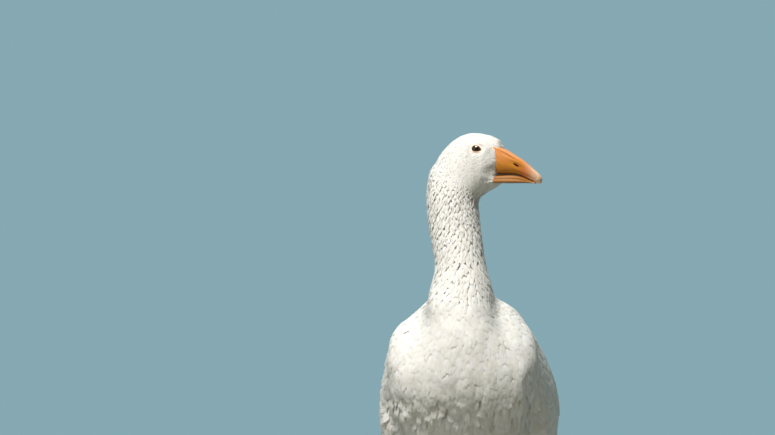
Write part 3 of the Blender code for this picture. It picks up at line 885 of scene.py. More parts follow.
def makeCoat(surface, material):
    ahead, side, up = surface.spots.T
    head = surface.headSpots
    bareEye = (eyeGap(head) < zoneSet["eyeRim"]) & (head[:, 2] > eyeSet["above"])
    bill = head[:, 0] > billBorder(np.abs(head[:, 1]), head[:, 2]) + zoneSet["billGap"]
    onHeadPart = (up > zoneSet["headFrom"]) & ~bareEye & ~bill
    onNeck = (up <= zoneSet["headFrom"]) & (up > zoneSet["neckFrom"])
    onBody = (up <= zoneSet["neckFrom"]) & (surface.thigh < 0.5)
    wing = surface.wing > 0.5
    wingEnd = np.where(up < zoneSet["lowWingTo"], zoneSet["lowWingEnd"], zoneSet["wingEnd"])
    front, low = ahead > zoneSet["breastFrom"], up <= zoneSet["bellyTo"]
    corner = (ahead < zoneSet["cornerEnd"]) & (np.abs(side) > zoneSet["cornerSide"])
    trunk = onBody & ~wing
    zones = (
        ("coatHead", onHeadPart, "fleck", 11),
        ("coatNeck", onNeck, "tuft", 12),
        ("coatBreast", trunk & front, "plume", 13),
        ("coatBelly", trunk & ~front & low, "plume", 14),
        ("coatBack", trunk & ~front & ~low & (ahead > zoneSet["backEnd"]) & ~corner, "vane", 15),
        ("coatWings", onBody & wing & (ahead > wingEnd), "vane", 16),
        ("coatThighs", surface.thigh >= 0.5, "tuft", 17),
    )
    for name, zone, shapeName, seed in zones:
        chosen = zone.astype(float)
        roots = scatter(surface, chosen, seed)
        mapSpots = mapRoots(unwrapped(surface, chosen), roots.triangle, roots.shares)
        growFeathers(name, surface, roots, mapSpots, shapeName, material, seed + 100)


# Sections of each half of the bill, from inside the head to the tip: top and bottom as (ahead, up), half
# width, and how round its back or its keel is.
upperBill = (
    ((170, 741.5), (168, 700.9), 16.2, 2.8),
    ((184, 741.0), (180, 700.6), 17.4, 2.8),
    ((196.2, 736.8), (190, 700.1), 16.8, 2.5),
    ((212.2, 727.2), (203, 700.3), 15.0, 2.0),
    ((225.5, 718.4), (217, 698.8), 13.0, 1.8),
    ((238.8, 706.8), (231.5, 693.0), 11.0, 1.9),
    ((246.6, 699.4), (241.5, 688.5), 9.0, 2.1),
    ((249.7, 694.2), (246.8, 686.7), 6.8, 2.2),
    ((250.2, 690.6), (249.3, 687.0), 3.6, 2.2),
)
lowerBill = (
    ((166, 698.6), (168, 688.4), 14.8, 2.4),
    ((184, 699.7), (184, 687.9), 15.1, 2.4),
    ((200, 700.2), (200, 687.5), 14.1, 2.4),
    ((213, 699.5), (213, 687.4), 12.5, 2.3),
    ((224, 696.3), (224, 687.4), 10.5, 2.2),
    ((234, 691.6), (234, 687.0), 8.1, 2.2),
    ((241.5, 688.6), (241.5, 686.4), 5.0, 2.2),
)
billSet = {"steps": 10, "sides": 88, "edge": 0.05, "crispness": 48}
nostrilSet = {
    "ahead": 215.3, "up": 713.2, "slope": -31, "length": 5.1, "height": 1.35, "depth": 3.6, "taper": 0.25,
}
nailSet = {"from": 235.5, "curve": 5.5, "step": 0.3}
teethSet = {"apart": 2.1, "depth": 0.4}


def billBorder(side, up):  # how far ahead the feathers end, by the distance from the middle and the height
    top = np.maximum(bell(side, 4.5) * ease(up, 725, 735), ease(up, 736, 740))
    upper = 188.0 - 2.8 * ease(up, 720, 702) + 8 * top
    lower = 183.0 + 1.2 * ease(up, 689, 701) + 17 * bell(side, 6) * ease(up, 692, 686)
    return lower + (upper - lower) * ease(up, 700, 705)


def between(values, where):  # a smooth curve through a list of values, read at a fractional index
    values = np.array(values, float)
    index = int(min(len(values) - 2, max(0, math.floor(where))))
    share = where - index
    before, start, end, after = (values[min(len(values) - 1, max(0, index + k))] for k in (-1, 0, 1, 2))
    square = (2 * before - 5 * start + 4 * end - after) * share**2
    cube = (3 * start - before - 3 * end + after) * share**3
    return 0.5 * (2 * start + (end - before) * share + (square + cube))


def columnAt(rows, where):  # every column of a table of sections, read at a fractional row
    return [between(column, where) for column in zip(*rows)]


def edgeHeight(sections, edge, ahead):  # how high the top (0) or the bottom (1) of half a bill is
    return np.interp(ahead, *zip(*(section[edge] for section in sections)))


def billRings(sections, keelShadeUp):
    rings = []
    for step in range(billSet["steps"] * (len(sections) - 1) + 1):
        top, bottom, halfWidth, power = columnAt(sections, step / billSet["steps"])
        ring = []
        for i in range(billSet["sides"]):
            angle = 2 * math.pi * i / billSet["sides"]
            height = 0.5 - 0.5 * math.cos(angle)
            keel = height if keelShadeUp else 1 - height
            width = (1 - keel**power) ** (1 / min(power, 2.0))
            width *= min(1.0, max(0.0, keel) / billSet["edge"]) ** 0.5
            spot = bottom + (top - bottom) * height
            ring.append(onHead(spot[0], math.copysign(halfWidth * width, math.sin(angle)), spot[1]))
        rings.append(ring)
    return rings


def sculptUpperBill(obj):
    points, normals = pointsOf(obj), normalsOf(obj)
    ahead, side, up = headPlaces(points).T
    side = np.abs(side)
    # the hollow round each nostril, with a raised rim above it and a trough behind it
    run, rise = turnedBy(ahead - nostrilSet["ahead"], up - nostrilSet["up"], -nostrilSet["slope"])
    push = 0.5 * bell(run, 9) * bell(rise - 4.6, 1.7)
    push -= 0.9 * bell(run, 8.5) * bell(rise, 3.6)
    push -= 0.35 * bell(run + 9, 8) * bell(rise + 1, 4.5)
    # the cutting edge stands out a little and is finely toothed, with a groove above it
    fromEdge = up - edgeHeight(upperBill, 1, ahead)
    push += 0.45 * bell(fromEdge - 2.0, 1.3) * ease(side, 2, 5) * ease(ahead, 246, 238)
    teeth = bell(fromEdge - 0.7, 0.9) * ease(side, 3, 6) * ease(ahead, 192, 200) * ease(ahead, 238, 232)
    push -= teethSet["depth"] * teeth * (0.5 + 0.5 * np.sin(2 * math.pi * ahead / teethSet["apart"]))
    push -= 0.35 * bell(fromEdge - 4.4, 1.1) * ease(ahead, 190, 200) * ease(ahead, 244, 232)
    # the nail at the tip is a plate of its own
    border = nailSet["from"] + nailSet["curve"] * (side / 6) ** 2
    push += nailSet["step"] * (ease(ahead - border, -0.2, 0.9) - 1.2 * bell(ahead - border, 0.9))
    # faint folds of skin at the root
    push += 0.16 * np.sin(up / 1.7 + ahead / 2.3) * bell(ahead - 189, 5)
    # a furrow under the ridge, from the root to past the nostril
    below = edgeHeight(upperBill, 0, ahead) - up
    push -= 0.8 * bell(below - 5.5, 1.8) * ease(ahead, 192, 200) * ease(ahead, 222, 208)
    setPoints(obj, lifted(points, normals, push))


def sculptLowerBill(obj):  # a groove along each side with a ridge above it, and a groove underneath
    points, normals = pointsOf(obj), normalsOf(obj)
    ahead, side, up = headPlaces(points).T
    side = np.abs(side)
    top, bottom = edgeHeight(lowerBill, 0, ahead), edgeHeight(lowerBill, 1, ahead)
    share = (up - bottom) / np.maximum(top - bottom, 0.1)
    push = 0.35 * bell(share - 0.72, 0.12) * ease(side, 3, 7)
    push -= 1.1 * bell(share - 0.5, 0.10) * ease(side, 3, 7) * ease(ahead, 238, 225)
    push -= 0.5 * bell(side, 3.0) * ease(share, 0.4, 0.1) * ease(ahead, 236, 222)
    setPoints(obj, lifted(points, normals, push))


def cutNostrils(obj, dark):
    for side in (-1, 1):
        ahead, across, up = headPlaces(pointsOf(obj)).T
        offSide = 100 * (across * side < 0)
        wall = abs(across[(np.hypot(ahead - nostrilSet["ahead"], up - nostrilSet["up"]) + offSide).argmin()])
        deselectAll()
        bpy.ops.mesh.primitive_uv_sphere_add(segments=32, ring_count=16, radius=1)
        cutter = bpy.context.active_object
        x, y, z = pointsOf(cutter).T
        rise = z * nostrilSet["height"] * (1 + nostrilSet["taper"] * x)
        forward, upward = turnedBy(x * nostrilSet["length"], rise, nostrilSet["slope"])
        out = side * (wall + y * nostrilSet["depth"])
        spots = zip(nostrilSet["ahead"] + forward, out, nostrilSet["up"] + upward)
        setPoints(cutter, np.array([onHead(*spot) for spot in spots]))
        # the cutter's near-black colour passes to the hole's walls as their painted shade
        cutter.data.materials.append(dark)
        faceOutwards(cutter)
        cut = {"operation": "DIFFERENCE", "object": cutter, "solver": "EXACT", "material_mode": "TRANSFER"}
        applied(obj, "BOOLEAN", **cut)
        bpy.data.objects.remove(cutter)
    pick(obj)
    bpy.ops.object.shade_smooth_by_angle(angle=math.radians(billSet["crispness"]))


# Colours of the bill, and where they change, in metres as its "spot" attribute holds them.
billLook = {
    "orange": (0.63, 0.205, 0.013), "ridge": (0.64, 0.25, 0.075), "root": (0.56, 0.225, 0.018),
    "red": (0.62, 0.16, 0.03), "tip": (0.70, 0.44, 0.28), "pink": (0.30, 0.13, 0.035),
    "lowerBillShade": (0.13, 0.055, 0.012), "roughness": (0.30, 0.52), "bleed": (1.0, 0.35, 0.12),
    "ridgeUp": (0.712, 0.728), "redAhead": (0.214, 0.226), "redUp": (0.722, 0.706),
    "pinkUp": (0.6945, 0.6985), "keelShadeUp": (0.6905, 0.6880), "upperTip": (0.228, 0.252),
    "lowerTip": (0.238, 0.256),
}


def paintUpperBill(look, base, ahead, up):
    # partly painted highlight: the top of the upper bill is painted paler and pinker where it takes the light
    # from above, over a pinker tint of its own
    base = look.mix(look.share(up, *billLook["ridgeUp"]), base, billLook["ridge"])
    redAhead, redUp = look.share(ahead, *billLook["redAhead"]), look.share(up, *billLook["redUp"])
    red = look.calculate("MULTIPLY", redAhead, redUp)
    return look.mix(look.calculate("MULTIPLY", red, 0.7), base, billLook["red"])


def paintLowerBill(look, base, up):
    # painted shade: the whole lower bill is painted darker, as it lies in the shade under the upper bill; the
    # pink band along its top is a tint of its own, also painted darker
    base = look.mix(0.75, base, billLook["lowerBillShade"])
    base = look.mix(look.share(up, *billLook["pinkUp"]), base, billLook["pink"])
    # painted shade along the keel, where the lower bill turns under
    return look.mix(look.share(up, *billLook["keelShadeUp"]), base, billLook["lowerBillShade"])


def makeBillMaterial(name, upper):
    look = Finish(name)
    vector, (ahead, _, up) = look.attribute("spot")
    base = look.mix(look.noise(vector, 190, 5), billLook["orange"], billLook["root"])
    base = paintUpperBill(look, base, ahead, up) if upper else paintLowerBill(look, base, up)
    # the tip pales over a blotchy border
    blotch = look.calculate("MULTIPLY", look.noise(vector, 70, 3), 0.012)
    tip = look.share(look.calculate("ADD", ahead, blotch), *billLook["upperTip" if upper else "lowerTip"])
    smooth, dull = billLook["roughness"]
    rough = {"To Min": smooth, "To Max": dull, "Value": look.noise(vector, 420, 4)}
    look.give({
        "Base Color": look.mix(tip, base, billLook["tip"]),
        "Roughness": look.add("MapRange", rough)["Result"], "Specular IOR Level": 0.32 if upper else 0.2,
        "Subsurface Weight": 0.12, "Subsurface Radius": billLook["bleed"], "Subsurface Scale": 0.002,
    })
    look.bump(look.noise(vector, 900, 4, 0.65), 0.00012, 0.7)
    return look.material


# The flesh between the halves of the bill, painted near black as the shade in the closed bill: where it
# starts and how far it reaches, how far it passes into the lower and the upper half, and how far it stays
# inside their sides.
mouthSet = {
    "from": 172, "reach": 68, "rings": 14, "sides": 24, "intoLower": 1.2, "intoUpper": 1.0, "inside": 4.6,
}


def makeMouth():
    # painted shade: the mouth's flesh is painted near black, as the shade in the gap between the halves
    inside = plainMaterial("mouthShadeLining", (0.018, 0.006, 0.004), 0.75, (0.035, 0.010, 0.007), 300)
    rings = []
    halfWidths = [(section[0][0], section[2]) for section in lowerBill]
    for share in np.linspace(0, 1, mouthSet["rings"]):
        ahead = mouthSet["from"] + mouthSet["reach"] * share
        low = float(edgeHeight(lowerBill, 0, ahead)) - mouthSet["intoLower"]
        high = float(edgeHeight(upperBill, 1, ahead)) + mouthSet["intoUpper"]
        half = float(np.interp(ahead, *zip(*halfWidths))) - mouthSet["inside"] - 0.8 * share
        rings.append([
            onHead(ahead, half * math.sin(a), (low + high) / 2 - (high - low) / 2 * math.cos(a))
            for a in np.linspace(0, 2 * math.pi, mouthSet["sides"], endpoint=False)
        ])
    finished(loftRings("mouthShadeLining", rings, inside), "bill")


def makeBill():  # gives trees of its halves, to fit the head to them
    # painted shade: the walls of the nostril holes are painted near black, as the shade inside them
    dark = plainMaterial("nostrilShade", (0.07, 0.018, 0.01), 0.55, (0.13, 0.03, 0.02), 500)
    upper = loftRings("billUpper", billRings(upperBill, False), makeBillMaterial("upperBillSkin", True))
    lower = loftRings("billLower", billRings(lowerBill, True), makeBillMaterial("lowerBillSkin", False))
    sculptUpperBill(upper)
    sculptLowerBill(lower)
    trees = [
        BVHTree.FromPolygons([v.co for v in obj.data.vertices], [face.vertices for face in obj.data.polygons])
        for obj in (upper, lower)
    ]
    cutNostrils(upper, dark)
    for obj, node in ((upper, "bill_upper"), (lower, "bill_lower")):
        markSpots(obj)
        finished(obj, "bill", node)
    makeMouth()
    return trees


# The head narrows to the bill: its rim stands over the bill's skin, more so on the forehead, and past the
# border it dips under it, deepest at the gape. The cheek is a little fuller before the border. Heights and
# widths are in mm.
fitSet = {
    "rim": 0.6, "foreheadRim": 1.5, "dip": 1.9, "gapeDip": 4.2, "gapeUp": 701, "gapeWidth": 5, "reach": 19,
    "cheek": 2.4, "cheekBehind": 7.5, "cheekUp": 711, "rounds": 6, "borderRounds": 2, "smoothFrom": -18,
}


def fitToBill(obj, trees):
    points = pointsOf(obj)
    ahead, side, up = headPlaces(points).T
    side = np.abs(side)
    over = ahead - billBorder(side, up)
    reach = fitSet["reach"] - 11 * ease(up, 730, 743) - 4 * ease(up, 690, 683)
    share = ease(over / reach, -1, 0)
    rim = fitSet["rim"] + fitSet["foreheadRim"] * ease(up, 736, 741)
    deep = fitSet["dip"] + fitSet["gapeDip"] * bell(up - fitSet["gapeUp"], fitSet["gapeWidth"])
    wanted = rim - (deep + rim) * ease(over, -0.2, 1.6)
    near = np.flatnonzero((over > -reach) & (up > 676) & (up < 764) & (ahead > 150))
    for k in near.tolist():
        point = Vector(points[k])
        spot, normal, _, _ = min((tree.find_nearest(point) for tree in trees), key=lambda found: found[3])
        signed = (point - spot).dot(normal) / mm
        points[k] = point + normal * float((wanted[k] - signed) * share[k] * mm)
    fuller = bell(over + fitSet["cheekBehind"], 6) * bell(up - fitSet["cheekUp"], 13) * (side > 8)
    points = lifted(points, normalsOf(obj), fitSet["cheek"] * fuller)
    edges = edgesOf(obj.data)
    border = ease(over, -3, 0.3)[:, None]
    soft = smoothed(points, edges, fitSet["rounds"]) * (1 - border)
    soft += smoothed(points, edges, fitSet["borderRounds"]) * border
    setPoints(obj, np.where((over > fitSet["smoothFrom"])[:, None], soft, points))


# The eye's middle on the straight head, its ball, how far it stands out, the reach of its pupil and iris in
# degrees, and its almond opening. Both eyes lie above and beside the given places.
eyeSet = {
    "ahead": 159.4, "up": 737.0, "radius": 11.0, "proud": 1.0, "pupil": 17, "iris": 40, "openLength": 7.4,
    "openHeight": 4.9, "tilt": -6, "above": 700, "beside": 10, "dish": 1.1, "socket": 5.0,
}


def eyeGap(spots):  # 1 on the rim of the eye's opening
    ahead, up = spots[:, 0] - eyeSet["ahead"], spots[:, 2] - eyeSet["up"]
    return np.hypot(ahead / eyeSet["openLength"], up / eyeSet["openHeight"])


def eyeSpot(side, forward, upward, out):  # a place by the eye, along its own axes, from its ball's middle
    axes = eyeSet["axes"]
    spot = eyeSet["middle"] + axes[0] * forward + axes[1] * upward + axes[2] * out
    return onHead(spot[0], side * spot[1], spot[2])


def setEyes(obj):  # seats each eye in a socket of the head, and gives a tree of the head without the sockets
    points = pointsOf(obj)
    spots = headPlaces(points)
    # each eye faces as the left side of the head does there
    left = (spots[:, 2] > eyeSet["above"]) & (spots[:, 1] > eyeSet["beside"])
    ahead, side, up = spots[left & (eyeGap(spots) < 1.1)].T
    level = np.column_stack((ahead - eyeSet["ahead"], up - eyeSet["up"], np.ones(len(ahead))))
    slopes = np.linalg.lstsq(level, side, rcond=None)[0]
    out = unit(np.array((-slopes[0], 1, -slopes[1])))
    forward = unit(np.array((1, 0, 0)) - out * out[0])
    eyeSet["axes"] = (forward, np.cross(forward, out), out)
    top = np.array((eyeSet["ahead"], float(slopes[2]), eyeSet["up"]))
    eyeSet["middle"] = top + out * (eyeSet["proud"] - eyeSet["radius"])
    # a shallow dish round each eye, and a socket deep enough to hold the lids' edge
    sides = (spots[:, 2] > eyeSet["above"]) * (np.abs(spots[:, 1]) > eyeSet["beside"])
    dish = eyeSet["dish"] * bell(np.maximum(eyeGap(spots) - 1, 0), 0.5) * sides
    setPoints(obj, lifted(points, normalsOf(obj), -dish))
    outside = surfaceOf(obj).tree
    deep = eyeSet["socket"] * ease(eyeGap(spots), 1.2, 0.95) * sides
    setPoints(obj, lifted(pointsOf(obj), normalsOf(obj), -deep))
    return outside


eyeLook = {
    "pupil": (0.002, 0.002, 0.002), "iris": (0.022, 0.008, 0.004), "fibres": (0.085, 0.034, 0.012),
    "rim": (0.012, 0.007, 0.005),
}


def makeEyeMaterial():  # "ring" holds each place's way round the pupil and its reach in degrees
    look = Finish("eyeGlass")
    vector, (_, _, reach) = look.attribute("ring")
    iris = look.mix(look.noise(vector, 5, 4), eyeLook["iris"], eyeLook["fibres"])
    pupil = look.share(reach, eyeSet["pupil"] - 1, eyeSet["pupil"] + 1)
    colour = look.mix(pupil, eyeLook["pupil"], iris)
    colour = look.mix(look.share(reach, eyeSet["iris"] - 5, eyeSet["iris"]), colour, eyeLook["rim"])
    look.give({"Base Color": colour, "Roughness": 0.12, "Coat Weight": 1.0, "Coat Roughness": 0.015})
    return look.material


def makeEyes():
    glass = makeEyeMaterial()
    for side, name in bothSides:
        deselectAll()
        bpy.ops.mesh.primitive_uv_sphere_add(segments=64, ring_count=40, radius=1)
        ball = bpy.context.active_object
        ball.name = "eye" + name
        unitBall = pointsOf(ball)
        reach = np.degrees(np.arccos(np.clip(unitBall[:, 2], -1, 1)))
        # the cornea stands out a little, and what the lids cover draws in
        size = eyeSet["radius"] * (1 + 0.02 * ease(reach, 34, 10) - 0.42 * ease(reach, 43, 72))
        places = unitBall * size[:, None]
        past = np.hypot(places[:, 0] / eyeSet["openLength"], places[:, 1] / eyeSet["openHeight"])
        places[:, 2] -= 4.6 * ease(past, 0.98, 1.3)
        setPoints(ball, np.array([eyeSpot(side, *spot) for spot in places]))
        spokes = np.arctan2(unitBall[:, 1], unitBall[:, 0])
        markPoints(ball.data, "ring", np.column_stack((np.cos(spokes) * 3, np.sin(spokes) * 3, reach)))
        faceOutwards(ball)
        bpy.ops.object.shade_smooth()
        ball.data.materials.append(glass)
        finished(ball, "eye", "eye_left" if side > 0 else "eye_right")


# The lids run from under the ball's edge over the rim and its crest, each as (size, height off the ball),
# and out to under the feathers, as (size, height off the head). "rise" is how much the crest is higher over
# the eye.
lidSet = {
    "around": 80, "crest": 0.55, "rise": 0.25, "rim": ((0.88, -0.9), (0.95, 0.02), (1.0, 0.4)),
    "skin": ((1.24, 0.15), (1.36, -0.25), (1.5, -0.75), (1.66, -1.7), (1.3, -2.8)),
}


def makeLidMaterial():
    look = Finish("lidSkin")
    vector, _ = look.attribute("spot")
    look.give({
        "Base Color": look.mix(look.noise(vector, 260, 4), (0.84, 0.70, 0.60), (0.76, 0.50, 0.36)),
        "Roughness": 0.5, "Subsurface Weight": 0.15, "Subsurface Scale": 0.002,
    })
    look.bump(look.noise(vector, 1400, 3), 0.0001, 0.6)
    return look.material


def lidRing(side, turn, outside):  # one section across the lids
    ahead, above = max(0, math.cos(turn)), max(0, math.sin(turn))
    corner = 0.10 * ahead**6 + 0.03 * max(0, -math.cos(turn)) ** 4
    forward = eyeSet["openLength"] * math.cos(turn) * (0.94 + corner)
    upward = eyeSet["openHeight"] * math.sin(turn) * (1 - 0.10 * math.cos(turn)) - 0.9 * ahead**4
    x, y = turnedBy(forward, upward, eyeSet["tilt"])
    crest = lidSet["crest"] + lidSet["rise"] * above
    ring = []
    for size, height in lidSet["rim"] + ((1.05, crest), (1.12, crest * 0.9)):
        ball = math.sqrt(max(eyeSet["radius"] ** 2 - (x * size) ** 2 - (y * size) ** 2, 1))
        ring.append(eyeSpot(side, x * size, y * size, ball + height))
    for size, height in lidSet["skin"]:
        near, normal, _, _ = outside.find_nearest(eyeSpot(side, x * size, y * size, 10))
        ring.append(near + normal * (height * mm))
    return ring


def makeLids(outside):
    material = makeLidMaterial()
    around = lidSet["around"]
    for side, name in bothSides:
        rings = [lidRing(side, 2 * math.pi * i / around, outside) for i in range(around)]
        points = [point for ring in rings for point in ring]
        lid = newMesh("lids" + name, points, ringFaces(around, len(rings[0]), closed=True), material)
        faceOutwards(lid)
        applied(lid, "SUBSURF", levels=1, render_levels=1)
        markSpots(lid)
        finished(lid, "eyelid")


# The planted feathers are laid one by one. quills holds each one's stations, as (place, which way its face
# looks), its length and its width in mm.
quillStations = shapes["quill"]["along"] + (1.0,)


def plantQuills(name, surface, quills, material, seed, twist=0.0):
    spines = np.array([[spot for spot, _ in stations] for stations, _, _ in quills], float)
    ups = np.array([[facing for _, facing in stations] for stations, _, _ in quills], float)
    lengths, widths = (np.array([quill[k] for quill in quills], float) * mm for k in (1, 2))
    count = len(quills)
    triangle = np.array([surface.tree.find_nearest(Vector(root))[2] for root in spines[:, 0]])
    mapSpots = mapRoots(surface.wholeMap, triangle, np.full((count, 3), 1 / 3))
    sizes = (lengths, widths, np.full(count, 0.1), np.full(count, 1.0))
    buildFeathers(name, spines, ups, sizes, mapSpots, "quill", material, np.random.default_rng(seed), twist)


# The folded hand: centre (ahead, side, up), half height, and how far its outer face looks up, in degrees.
handLine = (
    ((-120, 90, 436), 20, 30),
    ((-150, 86, 436), 26, 34),
    ((-200, 77, 436), 33, 38),
    ((-255, 58, 435), 30, 44),
    ((-310, 38, 436), 23, 50),
    ((-358, 22, 441), 14, 58),
    ((-395, 13, 447), 6, 62),
)
# The innermost primaries close over the root of the hand.
primarySet = {
    "count": 8, "width": 27, "lastWidth": 21, "twist": 3.0,
    "innerCount": 4, "innerFrom": -168, "innerReach": 164,
}


def handAt(ahead, rise, out, side):  # a place on the folded hand: rise from -1 to 1 over its height
    where = float(np.interp(-ahead, [-row[0][0] for row in handLine], range(len(handLine))))
    centre, half, slope = columnAt(handLine, where)
    turn = math.radians(float(slope))
    outward, upright = np.array((math.cos(turn), math.sin(turn))), np.array((-math.sin(turn), math.cos(turn)))
    sideUp = centre[1:] + upright * (float(half) * rise) + outward * out
    return place(ahead, side * sideUp[0], sideUp[1]), Vector((side * outward[0], 0, outward[1]))


def makePrimaries(surface, material):
    for side, name in bothSides:
        quills = []
        for k in range(primarySet["count"]):
            share = k / (primarySet["count"] - 1)
            start, end = -128 - 10 * share, -300 - 93 * share**0.9
            stations = []
            for u in quillStations:
                rise = (-0.62 + 0.95 * share) * (1 - 0.35 * u) + 0.16 * share * u
                stations.append(handAt(start + (end - start) * u, rise, 4.2 - 1.0 * k + 1.2 * (1 - u), side))
            width = primarySet["width"] + (primarySet["lastWidth"] - primarySet["width"]) * share
            quills.append((stations, start - end, width))
        for k in range(primarySet["innerCount"]):
            start, reach, rise = primarySet["innerFrom"], primarySet["innerReach"] - 8 * k, -0.1 + 0.3 * k
            stations = [
                handAt(start - reach * u, rise * (1 - 0.2 * u), 5.4 + 0.9 * k - 2.5 * (1 - u), side)
                for u in quillStations
            ]
            quills.append((stations, reach, primarySet["width"]))
        plantQuills("primaries" + name, surface, quills, material, 40, side * primarySet["twist"])


# Rows of long feathers over the wing: how many, a line through their bases and one through their tips, each
# as (ahead, up), their width, how far their bases lie under the skin and their tips over it, how much each
# lies over the one before, and how far they are twisted, in degrees.
wingRows = {
    "secondaries": {
        "bases": ((-78, 372), (-95, 425), (-90, 470)), "tips": ((-222, 372), (-258, 408), (-292, 450)),
        "count": 11, "width": 31, "under": -3.0, "over": 4.4, "layer": 2.4, "twist": 5.5,
    },
    "greaterCoverts": {
        "bases": ((-5, 345), (-14, 400), (-30, 462)), "tips": ((-108, 340), (-132, 398), (-150, 462)),
        "count": 12, "width": 28, "under": -3.0, "over": 4.6, "layer": 1.8, "twist": 5.0,
    },
}


def alongLine(line, share):  # a place on a line through a few places
    shares = np.linspace(0, 1, len(line))
    return np.array([np.interp(share, shares, values) for values in zip(*line)])


def layRow(surface, row, side):
    quills = []
    for k in range(row["count"]):
        share = k / (row["count"] - 1)
        start, end = alongLine(row["bases"], share), alongLine(row["tips"], share)
        stations = []
        for u in quillStations:
            ahead, up = start + (end - start) * u
            far = place(ahead, side * 190, up + 30)
            near, _, face, _ = surface.tree.ray_cast(far, (place(ahead, 0, up - 12) - far).normalized())
            if near is None:
                near, _, face, _ = surface.tree.find_nearest(far)
            facing = Vector(surface.triNormals[face])
            lift = row["under"] * (1 - u) ** 2 + row["over"] * u + row["layer"] * (share - 0.5)
            stations.append((near + facing * (lift * mm), facing))
        quills.append((stations, float(np.linalg.norm(end - start)), row["width"]))
    return quills


def makeWingRows(surface, material):
    for rowName, row in wingRows.items():
        for side, name in bothSides:
            quills = layRow(surface, row, side)
            plantQuills(rowName + name, surface, quills, material, 41, side * row["twist"])


# The tail's fan, and the coverts that close over and under its root. The rump's outline is given as
# (behind, up), and each row of coverts as where it starts and ends ahead, how many there are, and half its
# width.
tailSet = {"count": 16, "length": 131, "width": 25, "covertWidth": 24, "flatFrom": 318, "flatAt": 362}
tailCoverts = (
    {
        "over": 1,
        "rump": ((250, 454.6), (290, 443), (320, 434), (350, 432), (372, 430), (395, 429), (415, 431)),
        "rows": ((-262, -345, 8, 26), (-285, -372, 8, 28), (-305, -396, 8, 31), (-322, -415, 8, 32)),
    },
    {
        "over": -1,
        "rump": ((300, 330), (316, 366), (330, 383), (345, 391), (365, 399), (412, 421)),
        "rows": ((-316, -372, 8, 24), (-328, -396, 8, 28), (-338, -412, 8, 30)),
    },
)


def makeTailFan(surface, material):
    quills = []
    for k in range(tailSet["count"]):
        fan = 2 * k / (tailSet["count"] - 1) - 1  # from -1 at its right edge to 1 at its left
        order = 1 - abs(fan)
        base = np.array((-322, 17 * fan, 411 + 3 * order))
        tip = np.array((-451 + 13 * fan**2, 55 * fan, 434 + 3.2 * order - 4 * fan**2))
        middle = (base + tip) / 2 + np.array((0, 3 * fan, -2))
        facing = Vector((0.35 * fan, 0, 1)).normalized()
        curve = (base * (1 - u) ** 2 + middle * 2 * u * (1 - u) + tip * u**2 for u in quillStations)
        quills.append(([(place(*spot), facing) for spot in curve], tailSet["length"], tailSet["width"]))
    plantQuills("tailFan", surface, quills, material, 42)


def covertStation(ahead, side, u, coverts):  # over or under the rump, which is round and flattens behind
    over = coverts["over"]
    flat = float(ease(-ahead, tailSet["flatFrom"], tailSet["flatAt"]))
    height = float(np.interp(-ahead, *zip(*coverts["rump"])))
    height -= over * (0.016 * (1 - flat) + 0.004 * flat) * side**2
    facing = Vector((0.032 * side * (1 - flat) + 0.004 * side, 0, over)).normalized()
    return place(ahead, side, height + over * (4.0 * u - 0.5)), facing


def makeTailCoverts(surface, material):
    quills = []
    rng = np.random.default_rng(43)
    for coverts in tailCoverts:
        for start, end, count, half in coverts["rows"]:
            for k in range(count):
                fan = 2 * k / (count - 1) - 1
                reach = end + 14 * fan**2 - start
                stations = [
                    covertStation(start + reach * u, fan * half * (1 + 0.12 * u), u, coverts)
                    for u in quillStations
                ]
                quills.append((stations, start - end, tailSet["covertWidth"] * float(rng.uniform(0.9, 1.1))))
    plantQuills("tailCoverts", surface, quills, material, 44)


# Colours and scales of the legs; the claws are set out from the middle of each foot.
legLook = {
    "orange": (0.66, 0.215, 0.030), "deep": (0.42, 0.11, 0.018), "pale": (0.74, 0.34, 0.10), "roughness": 0.5,
    "voxel": 1.1, "rounds": 6, "scute": 4.3, "pebbles": 430, "footAhead": -60, "footSide": 58,
}


def makeLegMaterial():  # "scale" holds how far along its row of plates a place is, its plates and its web
    look = Finish("legSkin")
    _, (along, plates, web) = look.attribute("scale")
    cells = {"Scale": legLook["pebbles"], "Vector": look.coordinates()}
    pebbles = look.share(look.add("TexVoronoi", cells, feature="DISTANCE_TO_EDGE")["Distance"], 0.0, 0.22)
    phase = look.calculate("MULTIPLY", along, 2 * math.pi / (legLook["scute"] * mm))
    grooves = look.share(look.calculate("SINE", phase), -1.0, -0.62)
    relief = look.mix(plates, pebbles, grooves, "FLOAT")
    tone = look.mix(look.noise(look.coordinates(), 60, 4), legLook["orange"], legLook["pale"])
    tone = look.mix(web, tone, legLook["pale"])
    colour = look.mix(look.share(relief, -0.9, 1.0), legLook["deep"], tone)
    look.give({"Base Color": colour, "Roughness": legLook["roughness"]})
    look.bump(relief, 0.0006, 0.8)
    return look.material


def markScales(obj, side):  # plates down the front of the shank and along the toes, smooth webs between them
    points, normals = pointsOf(obj), normalsOf(obj)
    ahead, across, up = bodyPlaces(points).T
    fromJoint = np.hypot(ahead - legLook["footAhead"], across - side * legLook["footSide"])
    onFoot = ease(up, 22, 14)
    along = np.where(onFoot > 0.5, fromJoint, up) * mm
    toes = onFoot * ease(normals[:, 2], 0.2, 0.6) * ease(up, 5.5, 7.5)
    front = (1 - onFoot) * ease(-normals[:, 1], 0.15, 0.45) * ease(up, 120, 108)
    markPoints(obj.data, "scale", np.column_stack((along, np.maximum(toes, front), onFoot * ease(up, 6, 4))))


def makeLegs():
    material = makeLegMaterial()
    for side, name in bothSides:
        nodes = ("shank_" + name.lower(), "foot_" + name.lower())
        leg = copyOfNodes("leg" + name, nodes)
        applied(leg, "REMESH", mode="VOXEL", voxel_size=legLook["voxel"] * mm, use_smooth_shade=True)
        relaxed(leg, legLook["rounds"])
        leg.data.materials.clear()
        leg.data.materials.append(material)
        markScales(leg, side)
        finished(leg, "leg_skin", *nodes)


